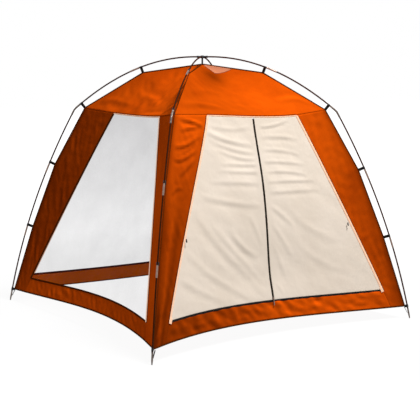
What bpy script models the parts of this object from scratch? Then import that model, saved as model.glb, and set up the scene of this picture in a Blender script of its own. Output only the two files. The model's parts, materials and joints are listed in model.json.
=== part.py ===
"""Dining shelter tent: a square dome screen house that hangs from two crossed pole arches.

Frame: metres, +Z up, origin on the ground under the hub. The front wall, which holds the
zipped door, faces -Y. Each leg lies in a vertical plane through the origin and one corner.
"""

import math

import bmesh
import bpy
import numpy as np
from mathutils import Matrix, Vector

# Driving sizes of the pole arches, seen from one side of the tent
FOOT_HALF_SPACING = 1.220
HUB_HEIGHT = 2.113
SHOULDER_HALF_SPACING = 0.757
SHOULDER_DROP = 0.409
LEG_TOP_HALF_SPACING = 0.783
LEG_TOP_DROP = 0.443
LEG_BOW = 0.070

# Pole sections, measured along the pole
INNER_SECTION_END = 0.587
UPPER_LEG_SECTION = 0.555
MIDDLE_LEG_SECTION = 0.589
POLE_RADIUS = 0.0060
POLE_SIDES = 8
POLE_STEP = 0.10
FERRULE_LENGTH = 0.088
FERRULE_RADIUS = 0.0074
ELBOW_RADIUS = 0.0078
ELBOW_ARCH_SOCKET = 0.024
ELBOW_LEG_SOCKET = 0.048
ELBOW_STEP = 0.012
TIP_LENGTH = 0.085
TIP_RADIUS = 0.0068
TIP_END_RADIUS = 0.0040

# Hub at the crossing
HUB_RADIUS = 0.027
HUB_THICKNESS = 0.030
HUB_SIDES = 24
HUB_ARM_RADIUS = 0.0100
HUB_ARM_REACH = 0.066
HUB_POLE_START = 0.016
HUB_POST_WIDTH = 0.014
HUB_POST_DEPTH = 0.006
HUB_FOOT_RADIUS = 0.012
HUB_FOOT_THICKNESS = 0.004
APEX_DROP = 0.063

# Clips between poles and canopy
CLIP_REACH = 0.052
CLIP_LENGTH = 0.013
CLIP_WALL = 0.0032
CLIP_SHANK = 0.0065
CLIP_BASE_WIDTH = 0.020
CLIP_BASE_THICKNESS = 0.0035
CLIP_MOUTH_DEGREES = 80.0
CLIP_MARGIN = 0.006
CLIP_SIDES = 14

# Corner straps that tie the hem's corners to the pole ends
STRAP_HEIGHT = 0.103
STRAP_REACH = 0.0247
STRAP_WIDTH = 0.022
STRAP_THICKNESS = 0.0024

# Canopy and walls
FABRIC_THICKNESS = 0.0020
SKIRT_SHARE = 0.090
RIDGE_MITRE = 1.3
ROOF_BUMP_POWER = 2.5
WINDOW_COLUMNS = 8
STRIP_COLUMNS = 2
LEGS = {"rear_right": 45, "rear_left": 135, "front_left": 225, "front_right": 315}

# Half widths of the door and the windows at the shoulder seam and at the hem, and how far
# their edges curve outwards between the two
DOOR_TOP_HALF_WIDTH = 0.425
DOOR_HEM_HALF_WIDTH = 1.068
DOOR_EDGE_BULGE = 0.027
SIDE_WINDOW_TOP_HALF_WIDTH = 0.362
SIDE_WINDOW_HEM_HALF_WIDTH = 1.029
REAR_WINDOW_TOP_HALF_WIDTH = 0.450
REAR_WINDOW_HEM_HALF_WIDTH = 1.090
WINDOW_EDGE_BULGE = 0.015

# How the cloth of each side hangs at its middle: the seam's sag, the hem's rise, and how
# far the seam and the hem bow inwards; the front hem also leans down to its right
FRONT_SEAM_SAG = 0.038
FRONT_HEM_RISE = 0.019
FRONT_HEM_LEAN = -0.030
FRONT_SEAM_BOW = 0.015
FRONT_HEM_BOW = 0.164
RIGHT_SEAM_SAG = 0.045
RIGHT_HEM_RISE = 0.045
RIGHT_SEAM_BOW = 0.100
RIGHT_HEM_BOW = 0.090
REAR_SEAM_SAG = 0.037
REAR_HEM_RISE = 0.020
REAR_SEAM_BOW = 0.050
REAR_HEM_BOW = 0.140
LEFT_SEAM_SAG = 0.048
LEFT_HEM_RISE = 0.054
LEFT_SEAM_BOW = 0.127
LEFT_HEM_BOW = 0.081

# Door
HEADER_HEIGHT = 0.014
PANEL_SETBACK = 0.0015
PANEL_COLUMNS = 4
PANEL_FOOT_WIDTH = 0.010
FLAP_ROWS = 14
FLAP_COLUMNS = 8
FLAP_TOP_SHARE = 0.012
FLAP_SETBACK = 0.0014
RIPPLE_HEIGHT = 0.007
RIPPLE_COUNT = 4
RIPPLE_MARGIN_SHARE = 0.25
ZIP_WIDTH = 0.010
ZIP_THICKNESS = 0.003
SLIDER_LENGTH = 0.024
SLIDER_THICKNESS = 0.005
SLIDER_START = 0.004
SLIDER_WAIST_SHARE = 0.7
PULL_LENGTH = 0.040
PULL_WIDTH = 0.007
PULL_THICKNESS = 0.0018
TOGGLE_INSET = 0.045
TOGGLE_HEIGHT = 0.790
TOGGLE_LENGTH = 0.026
TOGGLE_RADIUS = 0.0045
TOGGLE_STEM_RADIUS = 0.0025
TOGGLE_STEM_HEIGHT = 0.009
TOGGLE_SIDES = 10

# Clearances
GAP = 0.0003
ZIP_CLEARANCE = 0.0007
SEAM_GAP = 0.0008
MERGE_DISTANCE = 0.00001
OVERRUN = 0.004
CURVE_SAMPLES = 160

MATERIALS = {
    "fibreglass": ((0.020, 0.022, 0.024), 0.35, 0.0),
    "steel": ((0.55, 0.56, 0.57), 0.30, 1.0),
    "black_plastic": ((0.012, 0.012, 0.013), 0.45, 0.0),
    "orange_fabric": ((0.86, 0.13, 0.005), 0.70, 0.0),
    "cream_fabric": ((0.80, 0.72, 0.60), 0.80, 0.0),
    "mesh_net": ((0.72, 0.74, 0.76), 0.60, 0.0),
    "black_webbing": ((0.015, 0.015, 0.017), 0.85, 0.0),
    "zip_plastic": ((0.05, 0.045, 0.04), 0.55, 0.0),
}


# Each side's quarter turn from the front, its opening and how it hangs
SIDES = {
    "front": dict(
        turn=0, top=DOOR_TOP_HALF_WIDTH, hem=DOOR_HEM_HALF_WIDTH, bulge=DOOR_EDGE_BULGE,
        sag=FRONT_SEAM_SAG, rise=FRONT_HEM_RISE, lean=FRONT_HEM_LEAN,
        seam_bow=FRONT_SEAM_BOW, hem_bow=FRONT_HEM_BOW,
    ),
    "right": dict(
        turn=1, top=SIDE_WINDOW_TOP_HALF_WIDTH, hem=SIDE_WINDOW_HEM_HALF_WIDTH, bulge=WINDOW_EDGE_BULGE,
        sag=RIGHT_SEAM_SAG, rise=RIGHT_HEM_RISE, lean=0.0,
        seam_bow=RIGHT_SEAM_BOW, hem_bow=RIGHT_HEM_BOW,
    ),
    "rear": dict(
        turn=2, top=REAR_WINDOW_TOP_HALF_WIDTH, hem=REAR_WINDOW_HEM_HALF_WIDTH, bulge=WINDOW_EDGE_BULGE,
        sag=REAR_SEAM_SAG, rise=REAR_HEM_RISE, lean=0.0,
        seam_bow=REAR_SEAM_BOW, hem_bow=REAR_HEM_BOW,
    ),
    "left": dict(
        turn=3, top=SIDE_WINDOW_TOP_HALF_WIDTH, hem=SIDE_WINDOW_HEM_HALF_WIDTH, bulge=WINDOW_EDGE_BULGE,
        sag=LEFT_SEAM_SAG, rise=LEFT_HEM_RISE, lean=0.0,
        seam_bow=LEFT_SEAM_BOW, hem_bow=LEFT_HEM_BOW,
    ),
}


# Scene helpers
def clear_scene():
    for obj in list(bpy.data.objects):
        bpy.data.objects.remove(obj, do_unlink=True)


def material(name):
    found = bpy.data.materials.get(name)
    if found:
        return found
    colour, roughness, metallic = MATERIALS[name]
    made = bpy.data.materials.new(name)
    made.use_nodes = True
    shader = made.node_tree.nodes["Principled BSDF"]
    shader.inputs["Base Color"].default_value = (*colour, 1.0)
    shader.inputs["Roughness"].default_value = roughness
    shader.inputs["Metallic"].default_value = metallic
    return made


def finish_mesh(bm, name, slot):
    """Turns a bmesh into mesh data with its faces pointing out."""
    bmesh.ops.remove_doubles(bm, verts=bm.verts, dist=MERGE_DISTANCE)
    bmesh.ops.recalc_face_normals(bm, faces=bm.faces)
    data = bpy.data.meshes.new(name)
    bm.to_mesh(data)
    bm.free()
    data.materials.append(material(slot))
    return data


def place(name, data, turn=0.0, matrix=None):
    obj = bpy.data.objects.new(name, data)
    bpy.context.scene.collection.objects.link(obj)
    if matrix is not None:
        obj.matrix_world = matrix
    obj.rotation_euler.z += turn
    return obj


def round_off(obj, degrees=40):
    obj.data.shade_smooth()
    obj.data.set_sharp_from_angle(angle=math.radians(degrees))


def shares(count):
    return [i / count for i in range(count + 1)]


def blend(a, b, share):
    return a + (b - a) * share


# Pole axis in a leg's own plane: r runs out from the centre, z up
def pole_axis():
    """Distance from the centre, height and length along the axis, at close points."""
    root2 = math.sqrt(2.0)
    straight = HUB_ARM_REACH
    arch_end = SHOULDER_HALF_SPACING * root2
    leg_top = np.array([LEG_TOP_HALF_SPACING * root2, HUB_HEIGHT - LEG_TOP_DROP])
    foot = np.array([FOOT_HALF_SPACING * root2, 0.0])
    chord = foot - leg_top
    outward = np.array([-chord[1], chord[0]]) / np.linalg.norm(chord)
    points = [np.array([0.0, HUB_HEIGHT])]
    for share in shares(CURVE_SAMPLES):
        r = blend(straight, arch_end, share)
        points.append(np.array([r, HUB_HEIGHT - SHOULDER_DROP * share ** 2]))
    arch_top = points[-1]
    arch_slope = 2.0 * SHOULDER_DROP / (arch_end - straight)
    leg_start = chord + outward * 4.0 * LEG_BOW
    run = leg_top - arch_top
    # The elbow's bend is a curve whose control point is where the two straights meet
    matrix = np.array([[1.0, -leg_start[0]], [-arch_slope, -leg_start[1]]])
    along = np.linalg.solve(matrix, run)[0]
    corner = arch_top + np.array([1.0, -arch_slope]) * along
    for share in shares(CURVE_SAMPLES)[1:]:
        first = blend(arch_top, corner, share)
        second = blend(corner, leg_top, share)
        points.append(blend(first, second, share))
    for share in shares(CURVE_SAMPLES)[1:]:
        bow = 4.0 * LEG_BOW * share * (1.0 - share)
        points.append(blend(leg_top, foot, share) + outward * bow)
    points = np.array(points)
    lengths = np.concatenate([[0.0], np.cumsum(np.linalg.norm(np.diff(points, axis=0), axis=1))])
    return points, lengths


AXIS, LENGTHS = pole_axis()
APEX_HEIGHT = HUB_HEIGHT - APEX_DROP
POLE_END = float(LENGTHS[-1])
BEND_START = float(LENGTHS[1 + CURVE_SAMPLES])
BEND_END = float(LENGTHS[1 + 2 * CURVE_SAMPLES])
FERRULES = {
    "inner": INNER_SECTION_END,
    "upper": BEND_END + UPPER_LEG_SECTION,
    "middle": BEND_END + UPPER_LEG_SECTION + MIDDLE_LEG_SECTION,
}
ELBOW_START = BEND_START - ELBOW_ARCH_SOCKET
ELBOW_END = BEND_END + ELBOW_LEG_SOCKET
CLIP_SETBACK = CLIP_MARGIN + CLIP_LENGTH / 2.0
CLIPS = [
    FERRULES["inner"] - FERRULE_LENGTH / 2.0 - CLIP_SETBACK,
    ELBOW_START - CLIP_SETBACK,
    FERRULES["upper"] - FERRULE_LENGTH / 2.0 - CLIP_SETBACK,
    FERRULES["middle"] - FERRULE_LENGTH / 2.0 - CLIP_SETBACK,
]
STRAP_STATION = float(np.interp(-STRAP_HEIGHT, -AXIS[:, 1], LENGTHS))


def marks_along_pole():
    """Lengths at which every body on the pole has a ring, so that they bend together."""
    marks = [HUB_ARM_REACH, STRAP_STATION - STRAP_WIDTH / 2.0, STRAP_STATION + STRAP_WIDTH / 2.0]
    marks += [station + CLIP_LENGTH * half for station in CLIPS for half in (-0.5, 0.5)]
    marks += [joint + FERRULE_LENGTH * half for joint in FERRULES.values() for half in (-0.5, 0.0, 0.5)]
    bends = round((ELBOW_END - ELBOW_START) / ELBOW_STEP)
    marks += [ELBOW_START + (ELBOW_END - ELBOW_START) * i / bends for i in range(bends + 1)]
    return sorted(marks)


MARKS = marks_along_pole()


def axis_at(length):
    """Point, direction and outward normal of the pole axis at a length from the hub."""
    point = np.array([np.interp(length, LENGTHS, AXIS[:, i]) for i in range(2)])
    reach = POLE_STEP / 10.0
    low, high = max(0.0, length - reach), min(POLE_END, length + reach)
    run = [np.interp(high, LENGTHS, AXIS[:, i]) - np.interp(low, LENGTHS, AXIS[:, i]) for i in range(2)]
    direction = np.array(run) / np.linalg.norm(run)
    return point, direction, np.array([-direction[1], direction[0]])


def pole_ring(length, radius, on_ground=False):
    """One ring of points round the pole axis, in the leg's XZ plane."""
    point, direction, normal = axis_at(length)
    ring = []
    for i in range(POLE_SIDES):
        angle = 2.0 * math.pi * (i + 0.5) / POLE_SIDES
        r, z = point + normal * radius * math.cos(angle)
        if on_ground:
            r -= direction[0] * z / direction[1]
            z = 0.0
        ring.append(Vector((r, radius * math.sin(angle), z)))
    return ring


def swept(name, slot, stations, closed=False, on_ground=False):
    """A body turned about the pole axis through (length, radius) stations."""
    bm = bmesh.new()
    rings = []
    for number, (length, radius) in enumerate(stations):
        last = on_ground and number == len(stations) - 1
        rings.append([bm.verts.new(p) for p in pole_ring(length, radius, last)])
    pairs = list(zip(rings, rings[1:]))
    if closed:
        pairs.append((rings[-1], rings[0]))
    else:
        bm.faces.new(rings[0])
        bm.faces.new(rings[-1])
    for one, two in pairs:
        for i in range(POLE_SIDES):
            j = (i + 1) % POLE_SIDES
            bm.faces.new((one[i], one[j], two[j], two[i]))
    return finish_mesh(bm, name, slot)


def run_of(start, end, radius):
    """Stations of one radius from start to end, through the marks between them."""
    stops = [start] + [mark for mark in MARKS if start + GAP < mark < end - GAP] + [end]
    lengths = [start]
    for low, high in zip(stops, stops[1:]):
        count = max(1, round((high - low) / POLE_STEP))
        lengths += [blend(low, high, share) for share in shares(count)[1:]]
    return [(length, radius) for length in lengths]


def ferruled_section(name, start, joint):
    """A rod whose outer end carries a crimped ferrule, open to take the next rod."""
    bore = POLE_RADIUS + GAP
    stations = run_of(start, joint - FERRULE_LENGTH / 2.0, POLE_RADIUS)
    stations += run_of(joint - FERRULE_LENGTH / 2.0, joint + FERRULE_LENGTH / 2.0, FERRULE_RADIUS)
    stations += [(joint + FERRULE_LENGTH / 2.0, bore), (joint, bore)]
    return swept(name, "fibreglass", stations)


def make_poles():
    bore = POLE_RADIUS + GAP
    tip_top = POLE_END - TIP_LENGTH
    outside = run_of(ELBOW_START, ELBOW_END, ELBOW_RADIUS)
    inside = run_of(ELBOW_START, ELBOW_END, bore)[::-1]
    lower = run_of(FERRULES["middle"] + GAP, tip_top, POLE_RADIUS)
    lower += run_of(tip_top, POLE_END - TIP_LENGTH / 3.0, TIP_RADIUS)
    lower.append((POLE_END, TIP_END_RADIUS))
    sections = {
        "arch_pole_inner": ferruled_section("arch_pole_inner", HUB_POLE_START, FERRULES["inner"]),
        "arch_pole_outer": swept(
            "arch_pole_outer", "fibreglass", run_of(FERRULES["inner"] + GAP, BEND_START - GAP, POLE_RADIUS)
        ),
        "elbow": swept("elbow", "steel", outside + inside, closed=True),
        "leg_pole_upper": ferruled_section("leg_pole_upper", BEND_END + GAP, FERRULES["upper"]),
        "leg_pole_middle": ferruled_section("leg_pole_middle", FERRULES["upper"] + GAP, FERRULES["middle"]),
        "leg_pole_lower": swept("leg_pole_lower", "fibreglass", lower, on_ground=True),
    }
    for leg, degrees in LEGS.items():
        for section, data in sections.items():
            round_off(place(f"{section}_{leg}", data, math.radians(degrees)))


# Flat outlines that are extruded
def slab(name, slot, outline, thickness, hole=None):
    """An outline in the XY plane, with an optional hole, extruded from z = 0 to its thickness."""
    bm = bmesh.new()
    loops = [outline] + ([hole] if hole else [])
    for loop in loops:
        low = [bm.verts.new((x, y, 0.0)) for x, y in loop]
        high = [bm.verts.new((x, y, thickness)) for x, y in loop]
        for i in range(len(loop)):
            j = (i + 1) % len(loop)
            bm.faces.new((low[i], low[j], high[j], high[i]))
    rims = [edge for edge in bm.edges if edge.is_boundary]
    for level in (0.0, thickness):
        rim = [edge for edge in rims if all(abs(v.co.z - level) < GAP for v in edge.verts)]
        bmesh.ops.triangle_fill(bm, edges=rim, use_beauty=True)
    return finish_mesh(bm, name, slot)


def arc(radius, start, end, count):
    return [
        (radius * math.cos(blend(start, end, share)), radius * math.sin(blend(start, end, share)))
        for share in shares(count)
    ]


def clip_outline():
    """Side view of a clip: jaw round the pole at the origin, shank and base towards -Y."""
    inner = (POLE_RADIUS + GAP) / math.cos(math.pi / CLIP_SIDES)
    outer = inner + CLIP_WALL
    mouth = math.radians(CLIP_MOUTH_DEGREES / 2.0)
    neck = math.asin(CLIP_SHANK / 2.0 / outer)
    base = -CLIP_REACH + GAP
    top, down = math.pi / 2.0, -math.pi / 2.0
    half = CLIP_SIDES // 2
    left_inner = arc(inner, top + mouth, 2.0 * math.pi + top - mouth, CLIP_SIDES)
    right_outer = arc(outer, top - mouth, down + neck, half)
    left_outer = arc(outer, down - neck + 2.0 * math.pi, top + mouth, half)
    shank = [
        (CLIP_SHANK / 2.0, base + CLIP_BASE_THICKNESS),
        (CLIP_BASE_WIDTH / 2.0, base + CLIP_BASE_THICKNESS / 2.0),
        (CLIP_BASE_WIDTH / 2.0, base),
        (-CLIP_BASE_WIDTH / 2.0, base),
        (-CLIP_BASE_WIDTH / 2.0, base + CLIP_BASE_THICKNESS / 2.0),
        (-CLIP_SHANK / 2.0, base + CLIP_BASE_THICKNESS),
    ]
    return left_inner + right_outer + shank + left_outer


def strap_outline():
    """Side view of a corner strap: a loop round the pole end and its tab towards -Y."""
    inner = (POLE_RADIUS + GAP) / math.cos(math.pi / CLIP_SIDES)
    outer = inner + STRAP_THICKNESS
    neck = math.asin(STRAP_THICKNESS / outer)
    base = -STRAP_REACH + GAP
    loop = arc(outer, -math.pi / 2.0 + neck, 1.5 * math.pi - neck, CLIP_SIDES)
    tab = [(-STRAP_THICKNESS, base), (STRAP_THICKNESS, base)]
    return loop + tab, arc(inner, 0.0, 2.0 * math.pi, CLIP_SIDES)[:-1]


def leg_matrix(length, depth, degrees):
    """Places an extruded outline across the pole: its Y outwards, its thickness along the pole."""
    low, high = axis_at(length - depth / 2.0)[0], axis_at(length + depth / 2.0)[0]
    start = Vector((low[0], 0.0, low[1]))
    along = (Vector((high[0], 0.0, high[1])) - start).normalized()
    out = Vector((-along.z, 0.0, along.x))
    columns = Matrix((out.cross(along), out, along)).transposed().to_4x4()
    return Matrix.Rotation(math.radians(degrees), 4, "Z") @ Matrix.Translation(start) @ columns


def make_clips():
    clip = slab("clip", "black_plastic", clip_outline(), CLIP_LENGTH)
    outline, hole = strap_outline()
    strap = slab("corner_strap", "black_webbing", outline, STRAP_WIDTH, hole)
    for leg, degrees in LEGS.items():
        for number, station in enumerate(CLIPS, start=1):
            place(f"clip_{number}_{leg}", clip, matrix=leg_matrix(station, CLIP_LENGTH, degrees))
        place(f"corner_strap_{leg}", strap, matrix=leg_matrix(STRAP_STATION, STRAP_WIDTH, degrees))


# Hub
def box(low, high):
    bm = bmesh.new()
    bmesh.ops.create_cube(bm, size=1.0)
    low, high = Vector(low), Vector(high)
    for vert in bm.verts:
        vert.co = Vector([low[i] if vert.co[i] < 0.0 else high[i] for i in range(3)])
    return bm


def cylinder(radius, length, sides, matrix):
    bm = bmesh.new()
    bmesh.ops.create_cone(
        bm, cap_ends=True, segments=sides, radius1=radius, radius2=radius, depth=length, matrix=matrix
    )
    return bm


def helper(name, bm, slot):
    obj = place(name, finish_mesh(bm, name, slot))
    obj.hide_render = True
    obj.display_type = "WIRE"
    return obj


def combine(obj, other, operation):
    step = obj.modifiers.new(other.name, "BOOLEAN")
    step.operation = operation
    step.solver = "EXACT"
    step.object = other


def make_hub():
    """A moulded crossing with four sockets, and a post that carries the canopy's peak."""
    level = Matrix.Translation((0.0, 0.0, HUB_HEIGHT))
    body = cylinder(HUB_RADIUS, HUB_THICKNESS, HUB_SIDES, level)
    hub = place("hub", finish_mesh(body, "hub", "black_plastic"))
    foot_low = APEX_HEIGHT + GAP
    foot_middle = foot_low + HUB_FOOT_THICKNESS / 2.0
    foot = cylinder(
        HUB_FOOT_RADIUS, HUB_FOOT_THICKNESS, CLIP_SIDES, Matrix.Translation((0.0, 0.0, foot_middle))
    )
    post = box(
        (-HUB_POST_WIDTH / 2.0, -HUB_POST_DEPTH / 2.0, foot_middle),
        (HUB_POST_WIDTH / 2.0, HUB_POST_DEPTH / 2.0, HUB_HEIGHT),
    )
    combine(hub, helper("hub_post_shape", post, "black_plastic"), "UNION")
    combine(hub, helper("hub_foot_shape", foot, "black_plastic"), "UNION")
    bore = POLE_RADIUS + 2.0 * GAP
    bore_start = HUB_POLE_START - GAP
    for degrees in (45, 135):
        turn = Matrix.Rotation(math.radians(degrees), 4, "Z") @ Matrix.Rotation(math.pi / 2.0, 4, "Y")
        arm = cylinder(HUB_ARM_RADIUS, 2.0 * HUB_ARM_REACH, CLIP_SIDES, level @ turn)
        combine(hub, helper(f"hub_arm_shape_{degrees}", arm, "black_plastic"), "UNION")
    for leg, degrees in LEGS.items():
        reach = HUB_ARM_REACH + OVERRUN - bore_start
        middle = bore_start + reach / 2.0
        turn = Matrix.Rotation(math.radians(degrees), 4, "Z")
        lie = Matrix.Rotation(math.pi / 2.0, 4, "Y")
        out = Matrix.Translation((middle, 0.0, 0.0))
        hole = cylinder(bore, reach, CLIP_SIDES, level @ turn @ out @ lie)
        combine(hub, helper(f"hub_bore_shape_{leg}", hole, "black_plastic"), "DIFFERENCE")
    round_off(hub)


# Fabric: the ridges hang from the clips, and each side is built once and turned
def ridge_points():
    """Half width and height of the fabric's ridge at the peak, the clips and the hem."""
    points = [np.array([0.0, APEX_HEIGHT])]
    reaches = [(station, CLIP_REACH) for station in CLIPS] + [(STRAP_STATION, STRAP_REACH)]
    for station, reach in reaches:
        point, _, normal = axis_at(station)
        r, z = point - normal * reach
        points.append(np.array([r / math.sqrt(2.0), z]))
    return points


RIDGE = ridge_points()
SHOULDER, CORNER = RIDGE[2], RIDGE[5]
WALL_DROP = SHOULDER[1] - CORNER[1]


def wall_shares():
    """Rows of a wall, as shares of its drop: the clips' heights, halves between, and the skirt."""
    at_clips = [(SHOULDER[1] - RIDGE[i][1]) / WALL_DROP for i in (3, 4)]
    opening = 1.0 - SKIRT_SHARE
    rows = [0.0]
    for share in at_clips + [opening]:
        rows += [(rows[-1] + share) / 2.0, share]
    return rows + [1.0]


def ridge_on_wall(share):
    height = SHOULDER[1] - WALL_DROP * share
    heights = [point[1] for point in RIDGE[:1:-1]]
    widths = [point[0] for point in RIDGE[:1:-1]]
    return float(np.interp(height, heights, widths)), height


def top_height(side, x):
    return SHOULDER[1] - side["sag"] * (1.0 - (x / SHOULDER[0]) ** 2)


def hem_height(side, x):
    share = x / CORNER[0]
    return CORNER[1] + (side["rise"] + side["lean"] * share) * (1.0 - share ** 2)


def window_half_width(side, share):
    return blend(side["top"], side["hem"], share) + 4.0 * side["bulge"] * share * (1.0 - share)


def middle_point(side, across, share):
    """A point of the side's middle; across runs from -1 to 1 between the window's edges."""
    high = top_height(side, across * side["top"])
    low = hem_height(side, across * side["hem"])
    height = blend(high, low, share)
    depth = blend(CORNER[0], SHOULDER[0], (height - CORNER[1]) / WALL_DROP)
    x = across * window_half_width(side, share)
    bow = blend(side["seam_bow"], side["hem_bow"], share) * (1.0 - (x / ridge_on_wall(share)[0]) ** 2)
    return Vector((x, bow - depth, height))


def wall_point(side, across, share):
    """A point of the wall; across runs from -2 to 2, ridge to ridge."""
    if abs(across) <= 1.0:
        return middle_point(side, across, share)
    sign = math.copysign(1.0, across)
    width, height = ridge_on_wall(share)
    ridge = Vector((sign * width, -width, height))
    return middle_point(side, sign, share).lerp(ridge, abs(across) - 1.0)


def roof_point(side, across, share):
    """A point of the roof gore; share runs from the peak to the shoulder seam."""
    seam = wall_point(side, across, 0.0)
    peak = Vector((0.0, 0.0, APEX_HEIGHT))
    point = peak.lerp(seam, share)
    width = SHOULDER[0] * share
    ridge_height = float(np.interp(width, [p[0] for p in RIDGE[:3]], [p[1] for p in RIDGE[:3]]))
    bump = ridge_height - blend(APEX_HEIGHT, SHOULDER[1], share)
    point.z += bump * (abs(seam.x) / SHOULDER[0]) ** ROOF_BUMP_POWER
    return point


ROOF_SHARES = [0.0, 0.25, RIDGE[1][0] / SHOULDER[0], 0.75, 1.0]
WALL_SHARES = wall_shares()
ACROSS = (
    [-2.0 + share for share in shares(STRIP_COLUMNS)]
    + [-1.0 + 2.0 * share for share in shares(WINDOW_COLUMNS)[1:-1]]
    + [1.0 + share for share in shares(STRIP_COLUMNS)]
)
SHOULDER_ROW = len(ROOF_SHARES) - 1
OPENING_ROW = SHOULDER_ROW + len(WALL_SHARES) - 2
HEM_ROW = SHOULDER_ROW + len(WALL_SHARES) - 1
LEFT_EDGE = STRIP_COLUMNS
RIGHT_EDGE = STRIP_COLUMNS + WINDOW_COLUMNS
LAST_COLUMN = len(ACROSS) - 1


def side_grid(side):
    """All points of one side, peak to hem, in rows."""
    rows = [[roof_point(side, across, share) for across in ACROSS] for share in ROOF_SHARES]
    shares_below = WALL_SHARES[1:]
    return rows + [[wall_point(side, across, share) for across in ACROSS] for share in shares_below]


def ridge_normals():
    """Outward directions of the ridge in its leg's plane, one for each row of a side."""
    widths = [SHOULDER[0] * share for share in ROOF_SHARES]
    heights = [float(np.interp(w, [p[0] for p in RIDGE[:3]], [p[1] for p in RIDGE[:3]])) for w in widths]
    line = list(zip(widths, heights)) + [ridge_on_wall(share) for share in WALL_SHARES[1:]]
    rows = []
    for i in range(len(line)):
        before, after = line[max(0, i - 1)], line[min(len(line) - 1, i + 1)]
        run = Vector(((after[0] - before[0]) * math.sqrt(2.0), after[1] - before[1])).normalized()
        rows.append(Vector((-run.y, run.x)))
    rows[0] = Vector((0.0, 1.0))
    return rows


def cell_vectors(grid, cells):
    """For each point of the cells, the vector that one unit of thickness moves it out by."""
    normals = {}
    for i, j in sorted(cells):
        corners = [(i, j), (i, j + 1), (i + 1, j + 1), (i + 1, j)]
        a, b, c, d = (grid[row][column] for row, column in corners)
        normal = (c - a).cross(b - d)
        for corner in corners:
            normals.setdefault(corner, []).append(normal.normalized())
    vectors = {}
    for corner, near in normals.items():
        mean = sum(near, Vector()).normalized()
        vectors[corner] = mean / (sum(mean.dot(normal) for normal in near) / len(near))
    return vectors


def side_vectors(grid):
    """The same for a whole side, whose ridges also have to meet the next side's."""
    vectors = cell_vectors(grid, block((0, HEM_ROW), (0, LAST_COLUMN)))
    ridge = ridge_normals()
    for i, j in vectors:
        if j in (0, LAST_COLUMN) or i == 0:
            out, up = ridge[i]
            flat = out * RIDGE_MITRE / math.sqrt(2.0)
            vectors[i, j] = Vector((math.copysign(flat, j - 1), -flat, up * RIDGE_MITRE))
    return vectors


def skin(points, vectors, cells, open_columns=()):
    """A closed sheet from the points inwards, over a set of (row, column) cells."""
    bm = bmesh.new()
    outer = {key: bm.verts.new(point) for key, point in points.items()}
    inner = {key: bm.verts.new(point - vectors[key] * FABRIC_THICKNESS) for key, point in points.items()}
    for i, j in sorted(cells):
        keys = [(i, j), (i, j + 1), (i + 1, j + 1), (i + 1, j)]
        # Both sides of the sheet are split on the same diagonal, so that they can't cross
        for corners in (keys[:3], [keys[0]] + keys[2:]):
            bm.faces.new([outer[key] for key in corners])
            bm.faces.new([inner[key] for key in reversed(corners)])
        neighbours = [(i - 1, j), (i, j + 1), (i + 1, j), (i, j - 1)]
        for number, neighbour in enumerate(neighbours):
            if neighbour in cells or neighbour[1] in open_columns:
                continue
            one, two = keys[number], keys[(number + 1) % 4]
            bm.faces.new((outer[two], outer[one], inner[one], inner[two]))
    return bm


def panel(side, cells, joined_ridges=False):
    """A sheet over some cells of a side, drawn in from its neighbours by the seam gap."""
    grid = side_grid(side)
    points = {}
    for i, j in sorted({(i + a, j + b) for i, j in cells for a in (0, 1) for b in (0, 1)}):
        present = [(a, b) for a in (-1, 0) for b in (-1, 0) if (i + a, j + b) in cells]
        down = sum(1 if a == 0 else -1 for a, _ in present)
        over = sum(1 if b == 0 else -1 for _, b in present)
        if joined_ridges and j in (0, LAST_COLUMN):
            over = 0
        point = grid[i][j].copy()
        if down:
            point += (grid[i + int(math.copysign(1, down))][j] - grid[i][j]).normalized() * SEAM_GAP / 2.0
        if over and i:
            point += (grid[i][j + int(math.copysign(1, over))] - grid[i][j]).normalized() * SEAM_GAP / 2.0
        points[i, j] = point
    open_columns = (-1, LAST_COLUMN) if joined_ridges else ()
    bm = skin(points, side_vectors(grid), cells, open_columns)
    bmesh.ops.rotate(bm, verts=bm.verts, matrix=Matrix.Rotation(side["turn"] * math.pi / 2.0, 3, "Z"))
    return bm


def block(rows, columns):
    return {(i, j) for i in range(*rows) for j in range(*columns)}


def make_canopy():
    """The roof of four sewn gores, as one skin."""
    whole = bpy.data.meshes.new("canopy_roof_parts")
    joined = bmesh.new()
    for side in SIDES.values():
        cells = block((0, SHOULDER_ROW), (0, LAST_COLUMN))
        bm = panel(side, cells, joined_ridges=True)
        bm.to_mesh(whole)
        bm.free()
        joined.from_mesh(whole)
    bpy.data.meshes.remove(whole)
    bmesh.ops.remove_doubles(joined, verts=joined.verts, dist=MERGE_DISTANCE)
    lone = [face for face in joined.faces if face.calc_area() < MERGE_DISTANCE ** 2]
    bmesh.ops.delete(joined, geom=lone, context="FACES")
    place("canopy_roof", finish_mesh(joined, "canopy_roof", "orange_fabric"))


def make_walls():
    for name, side in SIDES.items():
        window = block((SHOULDER_ROW, OPENING_ROW), (LEFT_EDGE, RIGHT_EDGE))
        cloth = block((SHOULDER_ROW, HEM_ROW), (0, LAST_COLUMN)) - window
        bm = panel(side, cloth)
        place(f"wall_{name}", finish_mesh(bm, f"wall_{name}", "orange_fabric"))
        if name != "front":
            bm = panel(side, window)
            place(f"window_{name}", finish_mesh(bm, f"window_{name}", "mesh_net"))


# Door: a sewn panel with a header and two long triangles, and a flap hinged on each triangle
FRONT = SIDES["front"]
SETBACK_SHARE = PANEL_SETBACK / WALL_DROP
HEADER_SHARE = HEADER_HEIGHT / WALL_DROP
DOOR_SHARE = 1.0 - SKIRT_SHARE - SETBACK_SHARE
ZIP_EDGE = ZIP_WIDTH / 2.0 + ZIP_CLEARANCE
ZIP_TOP = middle_point(FRONT, 0.0, HEADER_SHARE)
ZIP_LOW = middle_point(FRONT, 0.0, DOOR_SHARE)
ZIP_UP = (ZIP_TOP - ZIP_LOW).normalized()
ZIP_OUT = Vector((0.0, -ZIP_UP.z, ZIP_UP.y))


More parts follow.
